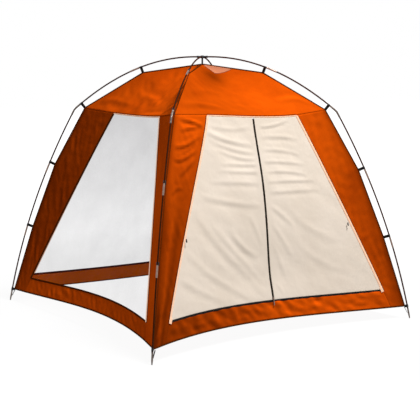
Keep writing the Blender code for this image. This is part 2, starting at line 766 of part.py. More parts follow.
def flap_foot(sign, across):
    """Bottom edge of a flap: across is 0 at its outer corner and 1 at the zip."""
    width = window_half_width(FRONT, DOOR_SHARE)
    x = blend(width - PANEL_SETBACK - PANEL_FOOT_WIDTH, ZIP_EDGE, across)
    return middle_point(FRONT, sign * x / width, DOOR_SHARE)


def fold_ends(sign):
    """The line that a flap folds on, from its outer bottom corner to the zip's top."""
    return flap_foot(sign, 0.0), ZIP_TOP + Vector((sign * ZIP_EDGE, 0.0, 0.0))


def fold_point(sign, height):
    foot, top = fold_ends(sign)
    return foot.lerp(top, (height - foot.z) / (top.z - foot.z))


def opening_edge(sign, share):
    """The door panel's outer edge, which follows the wall's own straight runs."""
    lower = min(i for i, row in enumerate(WALL_SHARES) if row > share)
    low, high = WALL_SHARES[lower - 1], WALL_SHARES[lower]
    line = [middle_point(FRONT, sign, row) for row in (low, high)]
    point = line[0].lerp(line[1], (share - low) / (high - low))
    return point - Vector((sign * PANEL_SETBACK, 0.0, 0.0))


def panel_half_row(sign, share):
    """Points from the opening's edge to the fold line, or to the zip in the header."""
    edge = opening_edge(sign, share)
    if share > HEADER_SHARE:
        return [edge.lerp(fold_point(sign, edge.z), part) for part in shares(PANEL_COLUMNS)]
    row = [middle_point(FRONT, sign * (1.0 - part), share) for part in shares(PANEL_COLUMNS)[1:-1]]
    last = middle_point(FRONT, 0.0, share) + Vector((sign * ZIP_EDGE, 0.0, 0.0))
    return [edge] + row + [last]


def make_door_panel():
    levels = [SETBACK_SHARE, HEADER_SHARE] + WALL_SHARES[1:-2] + [DOOR_SHARE]
    grid = [panel_half_row(-1.0, level) + panel_half_row(1.0, level)[::-1] for level in levels]
    cells = block((0, len(levels) - 1), (0, PANEL_COLUMNS))
    cells |= block((0, len(levels) - 1), (PANEL_COLUMNS + 1, 2 * PANEL_COLUMNS + 1))
    cells.add((0, PANEL_COLUMNS))
    vectors = cell_vectors(grid, cells)
    points = {(i, j): grid[i][j] for i, j in vectors}
    place("door_panel", finish_mesh(skin(points, vectors, cells), "door_panel", "cream_fabric"))


def ripple(across, down):
    """Height of the broad folds that pull in towards the zip, zero along the edges."""
    edge = min(across, 1.0 - across, down, 1.0 - down) / RIPPLE_MARGIN_SHARE
    fade = min(1.0, edge)
    wave = 0.5 - 0.5 * math.cos(2.0 * math.pi * RIPPLE_COUNT * (down + across * across / 4.0))
    return RIPPLE_HEIGHT * wave * fade * fade * (3.0 - 2.0 * fade)


def make_flap(name, sign):
    top = fold_ends(sign)[1]
    grid = []
    for row in shares(FLAP_ROWS):
        down = blend(FLAP_TOP_SHARE, 1.0, row)
        line = []
        for across in shares(FLAP_COLUMNS):
            point = top.lerp(flap_foot(sign, across), down) + ZIP_OUT * ripple(across, row)
            point.x -= sign * FLAP_SETBACK * (1.0 - across)
            line.append(point)
        grid.append(line[::-1] if sign > 0.0 else line)
    cells = block((0, FLAP_ROWS), (0, FLAP_COLUMNS))
    vectors = cell_vectors(grid, cells)
    points = {(i, j): grid[i][j] for i, j in vectors}
    bm = skin(points, vectors, cells)
    bmesh.ops.translate(bm, verts=bm.verts, vec=-top)
    flap = place(name, finish_mesh(bm, name, "cream_fabric"))
    flap.location = top
    round_off(flap)


def zip_matrix(base, lift):
    columns = Matrix((Vector((1.0, 0.0, 0.0)), ZIP_UP, ZIP_OUT)).transposed().to_4x4()
    return Matrix.Translation(base + ZIP_OUT * lift) @ columns


def make_zip():
    """The chain on the left flap's edge, with its slider at the bottom end."""
    half = ZIP_WIDTH / 2.0
    top_gap = (ZIP_TOP - ZIP_LOW).length * FLAP_TOP_SHARE
    length = (ZIP_TOP - ZIP_LOW).length - top_gap
    chain = [(-half, 0.0), (half, 0.0), (half, length), (-half, length)]
    data = slab("zip_chain", "zip_plastic", chain, ZIP_THICKNESS)
    place("zip_chain", data, matrix=zip_matrix(ZIP_LOW, -FABRIC_THICKNESS))
    lift = ZIP_THICKNESS - FABRIC_THICKNESS + GAP
    waist, narrow = SLIDER_LENGTH / 3.0, half * SLIDER_WAIST_SHARE
    body = [
        (-narrow, 0.0), (narrow, 0.0), (half, waist),
        (half, SLIDER_LENGTH), (-half, SLIDER_LENGTH), (-half, waist),
    ]
    matrix = zip_matrix(ZIP_LOW + ZIP_UP * SLIDER_START, lift)
    slider = place("zip_slider", slab("zip_slider", "steel", body, SLIDER_THICKNESS), matrix=matrix)
    low = (-PULL_WIDTH / 2.0, -PULL_LENGTH, SLIDER_THICKNESS - PULL_THICKNESS)
    high = (PULL_WIDTH / 2.0, waist, SLIDER_THICKNESS + PULL_THICKNESS)
    tab = helper("zip_pull_shape", box(low, high), "steel")
    tab.matrix_world = matrix
    combine(slider, tab, "UNION")


def toggle_matrix(sign):
    """Stands a toggle on the door panel, beside the opening's edge."""
    share = (SHOULDER[1] - TOGGLE_HEIGHT) / WALL_DROP
    edge = opening_edge(sign, share)
    inward = (fold_point(sign, edge.z) - edge).normalized()
    rise = opening_edge(sign, share - SETBACK_SHARE) - edge
    out = inward.cross(rise).normalized() * -sign
    up = (rise - inward * rise.dot(inward)).normalized()
    columns = Matrix((up.cross(out), up, out)).transposed().to_4x4()
    return Matrix.Translation(edge + inward * TOGGLE_INSET + out * 2.0 * GAP) @ columns


def make_toggles():
    """Barrel toggles on stems, which hold the flaps when they are tied back."""
    lie = Matrix.Translation((0.0, 0.0, TOGGLE_STEM_HEIGHT)) @ Matrix.Rotation(math.pi / 2.0, 4, "X")
    stand = Matrix.Translation((0.0, 0.0, TOGGLE_STEM_HEIGHT / 2.0))
    for name, sign in (("left", -1.0), ("right", 1.0)):
        barrel = cylinder(TOGGLE_RADIUS, TOGGLE_LENGTH, TOGGLE_SIDES, lie)
        stem = cylinder(TOGGLE_STEM_RADIUS, TOGGLE_STEM_HEIGHT, TOGGLE_SIDES, stand)
        matrix = toggle_matrix(sign)
        data = finish_mesh(barrel, f"toggle_{name}", "black_plastic")
        toggle = place(f"toggle_{name}", data, matrix=matrix)
        shape = helper(f"toggle_stem_shape_{name}", stem, "black_plastic")
        shape.matrix_world = matrix
        combine(toggle, shape, "UNION")


def main():
    clear_scene()
    make_poles()
    make_hub()
    make_clips()
    make_canopy()
    make_walls()
    make_door_panel()
    make_flap("door_flap_left", -1.0)
    make_flap("door_flap_right", 1.0)
    make_zip()
    make_toggles()


main()
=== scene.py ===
"""Looks of the dining shelter tent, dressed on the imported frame.

Everything is in metres, +Z up. The front wall, with the zipped door, faces -Y.
"""

import json
import math

import bmesh
import bpy
import numpy as np
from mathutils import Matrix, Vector


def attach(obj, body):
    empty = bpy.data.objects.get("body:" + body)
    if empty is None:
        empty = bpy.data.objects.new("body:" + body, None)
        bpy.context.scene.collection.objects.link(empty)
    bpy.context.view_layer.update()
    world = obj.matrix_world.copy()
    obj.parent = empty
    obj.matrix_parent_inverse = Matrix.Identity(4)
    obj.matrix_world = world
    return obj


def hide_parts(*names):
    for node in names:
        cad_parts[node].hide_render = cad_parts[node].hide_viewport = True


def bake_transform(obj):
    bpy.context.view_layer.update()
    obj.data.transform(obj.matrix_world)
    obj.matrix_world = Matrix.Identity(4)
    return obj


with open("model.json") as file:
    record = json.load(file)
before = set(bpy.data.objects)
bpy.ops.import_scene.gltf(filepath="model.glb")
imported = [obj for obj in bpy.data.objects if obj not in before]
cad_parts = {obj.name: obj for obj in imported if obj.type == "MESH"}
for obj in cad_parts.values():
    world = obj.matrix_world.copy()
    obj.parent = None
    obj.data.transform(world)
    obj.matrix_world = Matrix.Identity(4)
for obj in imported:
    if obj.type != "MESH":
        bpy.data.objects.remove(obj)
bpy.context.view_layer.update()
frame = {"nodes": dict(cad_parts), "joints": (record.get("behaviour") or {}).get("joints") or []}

TURN = 2.0 * math.pi
ROOT2 = math.sqrt(2.0)
UP = np.array([0.0, 0.0, 1.0])
RIGHT = (1.0, 0.0, 0.0)
WHITE = (1.0, 1.0, 1.0, 1.0)
HANDS = (("left", -1.0), ("right", 1.0))

# Camera, light and floor
CAMERA_PLACE = (-4.789, -7.281, 2.043)
CAMERA_TARGET = (0.0406, -0.0534, 0.8475)
CAMERA_FOCAL_PIXELS = 1051.3
IMAGE_PIXELS = 420
SENSOR_WIDTH_MM = 36.0
SKY_STRENGTH = 0.24
KEY_WATTS = 1090.0
KEY_SIZE = 2.8
KEY_PLACE = (1.5, -4.0, 9.6)
KEY_TARGET = (0.0, 0.0, 1.0)
FLOOR_HALF_SIZE = 40.0
FLOOR_GAP = 0.001
FLOOR_TONE = (0.30, 0.30, 0.30)
FLOOR_ROUGHNESS = 0.9
FLOOR_GLOW = 1.17
FLOOR_GLOW_SHARE = 0.80
FLOOR_FADE = (2.4, 4.5)

# Pole arches, as in the frame
FOOT_HALF_SPACING = 1.220
HUB_HEIGHT = 2.113
SHOULDER_HALF_SPACING = 0.757
SHOULDER_DROP = 0.409
LEG_TOP_HALF_SPACING = 0.783
LEG_TOP_DROP = 0.443
LEG_BOW = 0.070
HUB_ARM_REACH = 0.066
INNER_SECTION_START = 0.016
INNER_SECTION_END = 0.587
UPPER_LEG_SECTION = 0.555
MIDDLE_LEG_SECTION = 0.589
POLE_RADIUS = 0.0060
POLE_SIDES = 16
POLE_SPACING = 0.025
POLE_GAP = 0.0003
AXIS_STEPS = 160
AXIS_REACH = 0.003
# Bearings of the legs, and the left corner of each side in the order of their turns
LEGS = {"rear_right": 45.0, "rear_left": 135.0, "front_left": 225.0, "front_right": 315.0}

# The arch that lies nearer to the cloth than the other
LOW_ARCH = ("front_left", "rear_right")
ARCH_BOW_IN = 0.024

# Ferrules, elbows and tips; places of crimps are shares, but on the elbow lengths from its ends
FERRULE_LENGTH = 0.088
FERRULE_RADIUS = 0.0074
FERRULE_LIP = 0.0006
FERRULE_CRIMP = (0.72, 0.06)
FERRULE_SPACING = 0.004
CRIMP_DEPTH = 0.0007
ELBOW_RADIUS = 0.0078
ELBOW_LIP = 0.0007
ELBOW_ARCH_SOCKET = 0.024
ELBOW_LEG_SOCKET = 0.048
ELBOW_CRIMP = (0.014, 0.003)
TIP_LENGTH = 0.085
TIP_RADIUS = 0.0068
TIP_END_RADIUS = 0.0040
TIP_TAPER_START = 0.66
TIP_CRIMP = (0.12, 0.03)
TIP_OVERLAP = 0.002
BENT_SPACING = 0.003

# Hub
HUB_BODY = ((-0.013, 0.0100), (-0.011, 0.0115), (0.009, 0.0115), (0.011, 0.0100))
HUB_FOOT = ((0.0015, 0.011), (0.0030, 0.012), (0.0055, 0.012), (0.0065, 0.010))
HUB_SIDES = 24
HUB_SOCKET = (0.004, 0.045)
HUB_SOCKET_RADIUS = 0.0080
HUB_SOCKET_LIP = 0.0010
HUB_POST_TOP_DROP = 0.008
HUB_POST_FOOT = 0.003
HUB_POST_WIDTH = 0.014
HUB_POST_DEPTH = 0.010
HUB_POST_POINTS = 12

# Clips, corner straps and the webbing at the feet
CLIP_MOUTH = math.radians(80.0)
CLIP_HOOK_RADIUS = 0.0082
CLIP_HOOK_LENGTH = 0.022
CLIP_HOOK_WALL = 0.0030
CLIP_WEB_WIDTH = 0.023
CLIP_WEB_THICKNESS = 0.0034
CLIP_WEB_CLEARANCE = 0.002
CLIP_REACH = 0.052
CLIP_LENGTH = 0.013
CLIP_MARGIN = 0.006
STRAP_HEIGHT = 0.103
STRAP_REACH = 0.0247
FOOT_WEB_LOW = 0.042
FOOT_WEB_TOP_DROP = 0.004
FOOT_WEB_SPREADS = (0.012, 0.003)
FOOT_WEB_GAP = 0.003
FOOT_WEB_WIDTH = 0.008
FOOT_WEB_THICKNESS = 0.0018
FOOT_WEB_POINTS = 12
CLIP_HOOK_POINTS, CLIP_WEB_POINTS = 26, 9

# Canopy
APEX_DROP = 0.063
SKIRT_SHARE = 0.090
ROOF_BUMP_POWER = 2.5
LEFT_BOW_POWER = 0.7
CLOTH_THICKNESS = 0.0010

# The cloth of each side: turn is its quarter turns from the front, top and hem the half widths of
# its opening, bulge how far its edges bow outwards, sag and slant the line of its seam, rise and
# lean that of its hem, seam_bow and hem_bow how far those two bow inwards, left_bow how far the
# left edge alone bows in, and skirt the skirt's share of the drop
SIDES = {
    "front": dict(turn=0, top=0.425, hem=1.068, bulge=0.027, sag=0.030, slant=0.030, rise=0.019,
                  lean=-0.030, seam_bow=0.015, hem_bow=0.164, left_bow=0.041),
    "right": dict(turn=1, top=0.362, hem=1.029, bulge=0.015, sag=0.045, rise=0.045, lean=0.0,
                  seam_bow=0.100, hem_bow=0.090),
    "rear": dict(turn=2, top=0.450, hem=1.090, bulge=0.015, sag=0.037, rise=0.010, lean=0.0,
                 seam_bow=0.050, hem_bow=0.140, skirt=0.0815),
    "left": dict(turn=3, top=0.362, hem=1.029, bulge=0.015, sag=0.038, rise=0.044, lean=0.040,
                 seam_bow=0.127, hem_bow=0.081, skirt=0.079),
}

# Grids of the cloth: steps, rough sizes, and where each starts and ends
GRID_STEP = 0.014
DOOR_STEP = 0.011
GORE_WIDTH, GORE_LENGTH, GORE_SHARES = 1.43, 0.84, (0.004, 0.999)
STRIP_WIDTH, STRIP_TOP = 0.32, 0.001
SKIRT_WIDTH = 2.15
NET_WIDTH, NET_TOP = 1.5, 0.002
# Where the painted highlight beside the peak lies, its lift, and its grid
HIGHLIGHT_ACROSS, HIGHLIGHT_REACH, HIGHLIGHT_TOP, HIGHLIGHT_LIFT = (0.46, 1.95), (0.185, 0.245), 0.10, 0.0025
HIGHLIGHT_COLUMNS, HIGHLIGHT_ROWS = 40, 24
DOOR_HALF_WIDTH, DOOR_TOP, DOOR_OUTER, DOOR_SETBACK = 0.85, 0.004, 0.998, 0.0015

# Random seeds: the first side's, how many each side keeps, and those of its cloths
FIRST_SEED, SIDE_SEEDS = 100, 20
STRIP_SEED, SKIRT_SEED, NET_SEED, DOOR_SEED = 3, 7, 9, 41

# Waves of each cloth, as (height, count, size, stretch, bearing, spread)
GORE_WAVES = ((0.0030, 5, 0.30, 2.5, math.radians(60.0), 2.0), (0.0017, 10, 0.09, 1.6))
STRIP_WAVES = ((0.0026, 9, 0.075, 5.0, math.radians(82.0), 0.5), (0.0014, 9, 0.07, 1.8))
SKIRT_WAVES = ((0.0065, 9, 0.10, 1.6, math.radians(60.0), 1.6), (0.0014, 5, 0.045))
NET_WAVES = ((0.004, 4, 0.42, 3.0, math.radians(80.0), 1.0),)
DOOR_WAVES = ((0.0013, 6, 0.20, 3.0, math.radians(35.0), 0.8), (0.0003, 6, 0.06))
# Shares of those heights on some of the pieces, and of the door's own folds
GORE_LEVELS = {"front": 0.5, "left": 1.0}
OTHER_GORE_LEVEL = 0.8
FRONT_STRIP_LEVEL = 0.5
OTHER_SKIRT_LEVEL = 0.65
DOOR_FOLD_LEVEL = 0.6
# The door's relief is lower beside the zip, up to a share of the opening's half width
DOOR_ZIP_LEVEL = 0.15
DOOR_ZIP_MARGIN = 0.12

# How far in from a cloth's edges its relief fades, as shares: at the sides, then top and bottom
GORE_MARGINS = (0.25, 0.15, 0.08)
STRIP_MARGINS = (0.22, 0.04)
SKIRT_MARGINS = (0.05, 0.020)
NET_MARGINS = (0.2, 0.1)
DOOR_MARGINS = (0.10, 0.022)

# A crease: the valley's depth, distance and width as shares of the ridge's height and width, the
# length over which it runs out past its ends as a share of that width, the power of its swell
# along the line, and the points of each stretch
CREASE_VALLEY = (0.7, 1.7, 1.3)
CREASE_RUN_OUT = 1.5
CREASE_FADE_POWER = 0.6
CREASE_POINTS = 14

# Folds, as (line, width, height); the door's and the strip's lines are (across, share of the
# wall's drop) points read off the photograph
DOOR_FOLDS = (
    ([(-0.96, 0.045), (-0.50, 0.065), (-0.06, 0.050)], 0.016, 0.0040),
    ([(-0.96, 0.070), (-0.55, 0.118), (-0.05, 0.142)], 0.020, 0.0085),
    ([(-0.88, 0.110), (-0.41, 0.162), (-0.04, 0.180)], 0.018, 0.0070),
    ([(-0.70, 0.161), (-0.29, 0.205), (-0.03, 0.205)], 0.016, 0.0060),
    ([(-0.62, 0.232), (-0.21, 0.238), (-0.03, 0.236)], 0.014, 0.0060),
    ([(-0.66, 0.262), (-0.23, 0.274), (-0.03, 0.276)], 0.014, 0.0055),
    ([(-0.74, 0.312), (-0.29, 0.325), (-0.04, 0.330)], 0.018, 0.0055),
    ([(-0.84, 0.370), (-0.48, 0.413), (-0.05, 0.440)], 0.022, 0.0060),
    ([(-0.42, 0.540), (-0.30, 0.621), (-0.10, 0.690)], 0.026, 0.0085),
    ([(-0.68, 0.500), (-0.27, 0.700), (-0.06, 0.830)], 0.026, 0.0060),
    ([(-0.90, 0.420), (-0.55, 0.610), (-0.28, 0.738), (-0.08, 0.885)], 0.030, 0.0080),
    ([(-0.95, 0.600), (-0.62, 0.740), (-0.38, 0.826), (-0.20, 0.895)], 0.026, 0.0060),
    ([(-0.97, 0.720), (-0.70, 0.810), (-0.42, 0.890)], 0.024, 0.0045),
    ([(-0.20, 0.480), (-0.12, 0.560), (-0.05, 0.640)], 0.018, 0.0040),
    ([(0.10, 0.050), (0.38, 0.046), (0.76, 0.020)], 0.012, 0.0070),
    ([(0.06, 0.105), (0.47, 0.103), (0.80, 0.120)], 0.016, 0.0060),
    ([(0.05, 0.168), (0.40, 0.172), (0.72, 0.198)], 0.014, 0.0055),
    ([(0.05, 0.228), (0.35, 0.228), (0.74, 0.246)], 0.014, 0.0065),
    ([(0.05, 0.278), (0.39, 0.278), (0.70, 0.300)], 0.013, 0.0060),
    ([(0.05, 0.326), (0.43, 0.324), (0.79, 0.330)], 0.014, 0.0065),
    ([(0.05, 0.378), (0.39, 0.375), (0.81, 0.376)], 0.016, 0.0055),
    ([(0.05, 0.440), (0.20, 0.490), (0.34, 0.560)], 0.020, 0.0050),
    ([(0.04, 0.522), (0.16, 0.600), (0.25, 0.700)], 0.022, 0.0055),
    ([(0.04, 0.620), (0.12, 0.720), (0.16, 0.820)], 0.020, 0.0050),
    ([(0.03, 0.820), (0.08, 0.850), (0.10, 0.890)], 0.012, 0.0055),
    ([(0.30, 0.440), (0.50, 0.560), (0.80, 0.640)], 0.030, 0.0040),
    ([(0.30, 0.620), (0.55, 0.740), (0.80, 0.800)], 0.030, 0.0035),
)
STRIP_FOLDS = (
    ([(-1.90, 0.016), (-1.43, 0.032), (-1.02, 0.052)], 0.012, 0.0100),
    ([(-1.78, 0.074), (-1.45, 0.060), (-1.04, 0.054)], 0.012, 0.0080),
    ([(-1.88, 0.142), (-1.46, 0.136), (-1.12, 0.098)], 0.014, 0.0100),
    ([(-1.60, 0.170), (-1.36, 0.158), (-1.16, 0.130)], 0.009, 0.0060),
    ([(-1.82, 0.196), (-1.50, 0.200), (-1.05, 0.158)], 0.012, 0.0075),
    ([(-1.55, 0.275), (-1.30, 0.240), (-1.05, 0.200)], 0.017, 0.0065),
    ([(-1.80, 0.360), (-1.55, 0.330), (-1.25, 0.335)], 0.014, 0.0045),
    ([(-1.36, 0.560), (-1.42, 0.740), (-1.62, 0.880)], 0.030, 0.0100),
    ([(-1.62, 0.600), (-1.66, 0.780), (-1.80, 0.920)], 0.018, 0.0060),
    ([(-1.78, 0.799), (-1.82, 0.882), (-1.93, 0.960)], 0.012, 0.0050),
    ([(-1.20, 0.860), (-1.45, 0.930), (-1.80, 0.975)], 0.014, 0.0050),
)
# Folds of the roof, whose lines are (u, v) points in metres from the peak, along and out from it
GORE_FOLDS = {
    "front": [
        ([(-0.66, 0.66), (-0.45, 0.60), (-0.20, 0.62)], 0.022, 0.006),
        ([(-0.62, 0.60), (-0.40, 0.48), (-0.15, 0.40)], 0.026, 0.006),
        ([(0.66, 0.66), (0.50, 0.58), (0.34, 0.56)], 0.020, 0.006),
    ],
    "left": [
        ([(0.67, 0.66), (0.52, 0.60), (0.34, 0.60)], 0.016, 0.007),
        ([(0.66, 0.62), (0.50, 0.50), (0.30, 0.46)], 0.018, 0.008),
        ([(0.64, 0.58), (0.54, 0.42), (0.42, 0.30)], 0.016, 0.007),
        ([(0.60, 0.52), (0.55, 0.36), (0.52, 0.20)], 0.014, 0.006),
        ([(0.45, 0.66), (0.20, 0.60), (-0.05, 0.62)], 0.022, 0.006),
        ([(0.10, 0.50), (-0.10, 0.42), (-0.30, 0.44)], 0.026, 0.005),
        ([(-0.66, 0.66), (-0.45, 0.56), (-0.25, 0.52)], 0.020, 0.006),
    ],
}

# Painted light and shade in the cloth's colour, for the light that passes through it and the shade on
# it: on the roof a level and spots as (u, v, width, height, gain); on a strip, values at even steps
# down it, then its level at the opening and at the ridge and the ridge's shade; on a skirt, values at
# even steps to the right
GORE_LIGHT_AND_SHADE = {
    "front": (1.0, [(0.40, 0.45, 0.38, 0.45, 0.28), (0.00, 0.16, 0.10, 0.12, -0.60),
                    (-0.14, 0.26, 0.14, 0.16, -0.26), (-0.45, 0.52, 0.22, 0.25, -0.14)]),
    "left": (1.07, [(0.25, 0.25, 0.25, 0.25, 0.22), (0.55, 0.50, 0.08, 0.20, -0.20),
                    (-0.50, 0.65, 0.30, 0.20, -0.10)]),
}
STRIP_LIGHT_AND_SHADE = {
    ("front", "left"): ((1.3, 1.0, 0.7, 0.55, 0.45), 1.0, 0.95, 0.42),
    ("front", "right"): ((1.2, 1.05, 0.9), 1.08, 0.78, 0.42),
    ("left", "right"): ((1.6, 1.9, 1.8), 1.0, 1.0, 0.0),
    ("left", "left"): ((0.8, 0.75, 0.7, 0.75, 1.0), 1.0, 0.95, 0.42),
}
OTHER_STRIP_LIGHT_AND_SHADE = ((1.0, 1.0), 1.0, 0.95, 0.3)
SKIRT_LIGHT_AND_SHADE = {"front": (0.5, 0.75, 1.15, 1.4, 1.2), "left": (1.35, 1.5, 1.5)}
TONE_BLUR = 0.04
TONE_RANGE = (0.2, 1.8)
RIDGE_SHADE_WIDTH = 0.026
# Painted light and shade on folds: how much a slope across and down the cloth changes its lightness
SLOPE_LIGHT_AND_SHADE = (0.5, -0.8)

# The roll down the front left strip, as (place across, width, height or gain); the gains are painted
# light and shade on it
ROLL_RELIEF = ((-1.83, 0.09, 0.006), (-1.51, 0.14, -0.008))
ROLL_RANGE = (0.20, 1.0, 0.25, 0.15)
ROLL_LIGHT_AND_SHADE = ((1.59, 0.11, 0.32), (1.34, 0.11, -0.24))
ROLL_LIGHT_AND_SHADE_START = (0.35, 0.20)

# The zip; its line drifts over ranges of the drop, as (start, end, rise, fall)
ZIP_EDGE = 0.0057
ZIP_POINTS = 180
ZIP_TOP_SHARE = 0.014
ZIP_END_GAP = 0.001
ZIP_SHIFT = 0.016
ZIP_BULGE = 0.012
ZIP_LOW_BULGE = 0.010
ZIP_TOP_DRIFT = (0.0, 0.80, 0.36, 0.44)
ZIP_LOW_DRIFT = (0.55, 0.905, 0.25, 0.12)
# Bands along the zip, as (shift, lift, width, thickness)
ZIP_BANDS = {
    "zip_tape_left": (-0.0050, 0.0006, 0.006, 0.0016),
    "zip_coil": (0.0, 0.0010, 0.0085, 0.0030),
    "zip_tape_right": (0.0075, 0.0006, 0.004, 0.0014),
}
COIL_TURNS = 520
COIL_TURN_POINTS = 6
COIL_WIRE_SIDES = 5
COIL_WIRE_RADIUS = 0.00045
COIL_HALF_WIDTH = 0.0030
COIL_HALF_HEIGHT = 0.0012
COIL_CENTRE_LIFT = 0.0016

# Bands that lie on the cloth, as (lift, width, thickness)
BANDS = {
    "shoulder_seam": (0.0004, 0.006, 0.0016),
    "hem_binding": (-0.0002, 0.012, 0.0034),
    "edge_piping": (0.0022, 0.0185, 0.0032),
    # The edge and head seams are dark: seams with painted shade along them
    "edge_seam_and_shade": (0.0016, 0.006, 0.0030),
    "sill": (0.0006, 0.018, 0.0030),
    "head_piping": (0.0012, 0.009, 0.0026),
    "head_seam_and_shade": (0.0006, 0.011, 0.0026),
    "door_tab": (0.0048, 0.024, 0.0022),
    "ridge_binding": (0.001, 0.015, 0.0034),
}
# How far the bands beside an opening lie outside or inside its edge
SEAM_OFFSET = 0.0078
PIPING_INWARDS = 0.0045
TAB_INWARDS = 0.4 * BANDS["door_tab"][1]
# Where the bands run, as shares of the drop, and how far across the wall
TAB_SHARES = (0.893, 0.917)
EDGE_TOP_SHARE = 0.006
HEM_BINDING_SHARE = 0.9985
HEAD_PIPING_SHARE = 0.0045
HEAD_SEAM_SHARE = 0.9935
WIDE_REACH, SILL_REACH = 1.985, 0.995
WIDE_POINTS, SILL_POINTS, EDGE_POINTS, TAB_POINTS, RIDGE_POINTS = 150, 110, 90, 8, 14
# The section of a band, whose roundness would be 1 for an oval
BAND_SIDES = 8
BAND_ROUNDNESS = 0.6

# Edges of the pieces and of the CAD nodes
SHARP_ANGLE, BEVEL_ANGLE = math.radians(50.0), math.radians(40.0)
SLIDER_BEVEL, TOGGLE_BEVEL, STRAP_BEVEL = 0.0005, 0.0006, 0.0005


def blend(a, b, share):
    return a + (b - a) * share


def unit(vectors):
    return vectors / np.maximum(np.linalg.norm(vectors, axis=-1, keepdims=True), 1e-12)


def step_lengths(points, axis=0):
    return np.linalg.norm(np.diff(points, axis=axis), axis=-1)


def run_along(points):
    """Length along a path at each of its points."""
    return np.concatenate([[0.0], np.cumsum(step_lengths(points))])


def directions(points):
    """Directions along a path."""
    return unit(np.gradient(points, axis=0))


# The pole's axis in a leg's own plane
def pole_axis():
    """Distance from the centre and height at close points, the length along them, and that at the
    start and the end of the bend."""
    steps = np.linspace(0.0, 1.0, AXIS_STEPS + 1)
    arch_end = SHOULDER_HALF_SPACING * ROOT2
    leg_top = np.array([LEG_TOP_HALF_SPACING * ROOT2, HUB_HEIGHT - LEG_TOP_DROP])
    foot = np.array([FOOT_HALF_SPACING * ROOT2, 0.0])
    chord = foot - leg_top
    outward = np.array([-chord[1], chord[0]]) / np.linalg.norm(chord)
    arch = np.stack([blend(HUB_ARM_REACH, arch_end, steps),
                     HUB_HEIGHT - SHOULDER_DROP * steps ** 2], 1)
    slope = 2.0 * SHOULDER_DROP / (arch_end - HUB_ARM_REACH)
    leg_start = chord + outward * 4.0 * LEG_BOW
    # The bend is a curve whose control point is where the lines of the arch and the leg meet
    lines = np.array([[1.0, -leg_start[0]], [-slope, -leg_start[1]]])
    along = np.linalg.solve(lines, leg_top - arch[-1])[0]
    corner = arch[-1] + np.array([1.0, -slope]) * along
    s = steps[1:, None]
    bend = blend(blend(arch[-1], corner, s), blend(corner, leg_top, s), s)
    leg = blend(leg_top, foot, s) + outward * 4.0 * LEG_BOW * s * (1.0 - s)
    points = np.concatenate([[[0.0, HUB_HEIGHT]], arch, bend, leg])
    lengths = run_along(points)
    return points, lengths, float(lengths[AXIS_STEPS + 1]), float(lengths[2 * AXIS_STEPS + 1])


AXIS, LENGTHS, BEND_START, BEND_END = pole_axis()
POLE_END = float(LENGTHS[-1])
FERRULES = (INNER_SECTION_END, BEND_END + UPPER_LEG_SECTION,
            BEND_END + UPPER_LEG_SECTION + MIDDLE_LEG_SECTION)
ELBOW_START = BEND_START - ELBOW_ARCH_SOCKET
ELBOW_END = BEND_END + ELBOW_LEG_SOCKET
CLIP_SETBACK = CLIP_MARGIN + CLIP_LENGTH / 2.0
CLIPS = tuple(station - CLIP_SETBACK for station in (
    FERRULES[0] - FERRULE_LENGTH / 2.0, ELBOW_START,
    FERRULES[1] - FERRULE_LENGTH / 2.0, FERRULES[2] - FERRULE_LENGTH / 2.0))
STRAP_STATION = float(np.interp(-STRAP_HEIGHT, -AXIS[:, 1], LENGTHS))


def axis_at(station):
    """Point, direction and outward normal of the pole's axis, in its plane."""
    def at(length):
        return np.array([np.interp(length, LENGTHS, AXIS[:, k]) for k in (0, 1)])
    low, high = max(0.0, station - AXIS_REACH), min(POLE_END, station + AXIS_REACH)
    along = unit(at(high) - at(low))
    return at(station), along, np.array([-along[1], along[0]])


def in_leg(r, z, degrees):
    """Points of a leg's plane in the tent's own frame."""
    angle = math.radians(degrees)
    r = np.asarray(r)
    return np.stack([r * math.cos(angle), r * math.sin(angle), np.asarray(z)], -1)


# The fabric's ridge, which hangs from the clips
def ridge_line():
    """Half widths and heights of the ridge at the peak, the clips and the hem's corner."""
    widths, heights = [0.0], [HUB_HEIGHT - APEX_DROP]
    for station, reach in [(s, CLIP_REACH) for s in CLIPS] + [(STRAP_STATION, STRAP_REACH)]:
        point, _, normal = axis_at(station)
        r, z = point - normal * reach
        widths.append(r / ROOT2)
        heights.append(z)
    return np.array(widths), np.array(heights)


RIDGE_W, RIDGE_Z = ridge_line()
APEX_Z = RIDGE_Z[0]
SHOULDER_W, SHOULDER_Z = RIDGE_W[2], RIDGE_Z[2]
CORNER_W, CORNER_Z = RIDGE_W[5], RIDGE_Z[5]
WALL_DROP = SHOULDER_Z - CORNER_Z
DOOR_LOW = 1.0 - SKIRT_SHARE - DOOR_SETBACK / WALL_DROP


def ridge_on_wall(share):
    height = SHOULDER_Z - WALL_DROP * share
    return np.interp(height, RIDGE_Z[:1:-1], RIDGE_W[:1:-1]), height


# Smooth surfaces of one side, facing -Y; across runs from -2 to 2, ridge to ridge, and share is
# the share of the drop, from the shoulder to the hem or from the peak to the shoulder
def half_width(side, share, left):
    """Half the width of the opening; its left edge may be bowed in by itself."""
    half = blend(side["top"], side["hem"], share) + 4.0 * side["bulge"] * share * (1.0 - share)
    high = np.clip(share, 0.0, 1.0) ** LEFT_BOW_POWER
    return half - side.get("left_bow", 0.0) * 4.0 * high * (1.0 - high) * left


def sill_share(side):
    """Where the opening ends and the skirt begins."""
    return 1.0 - side.get("skirt", SKIRT_SHARE)


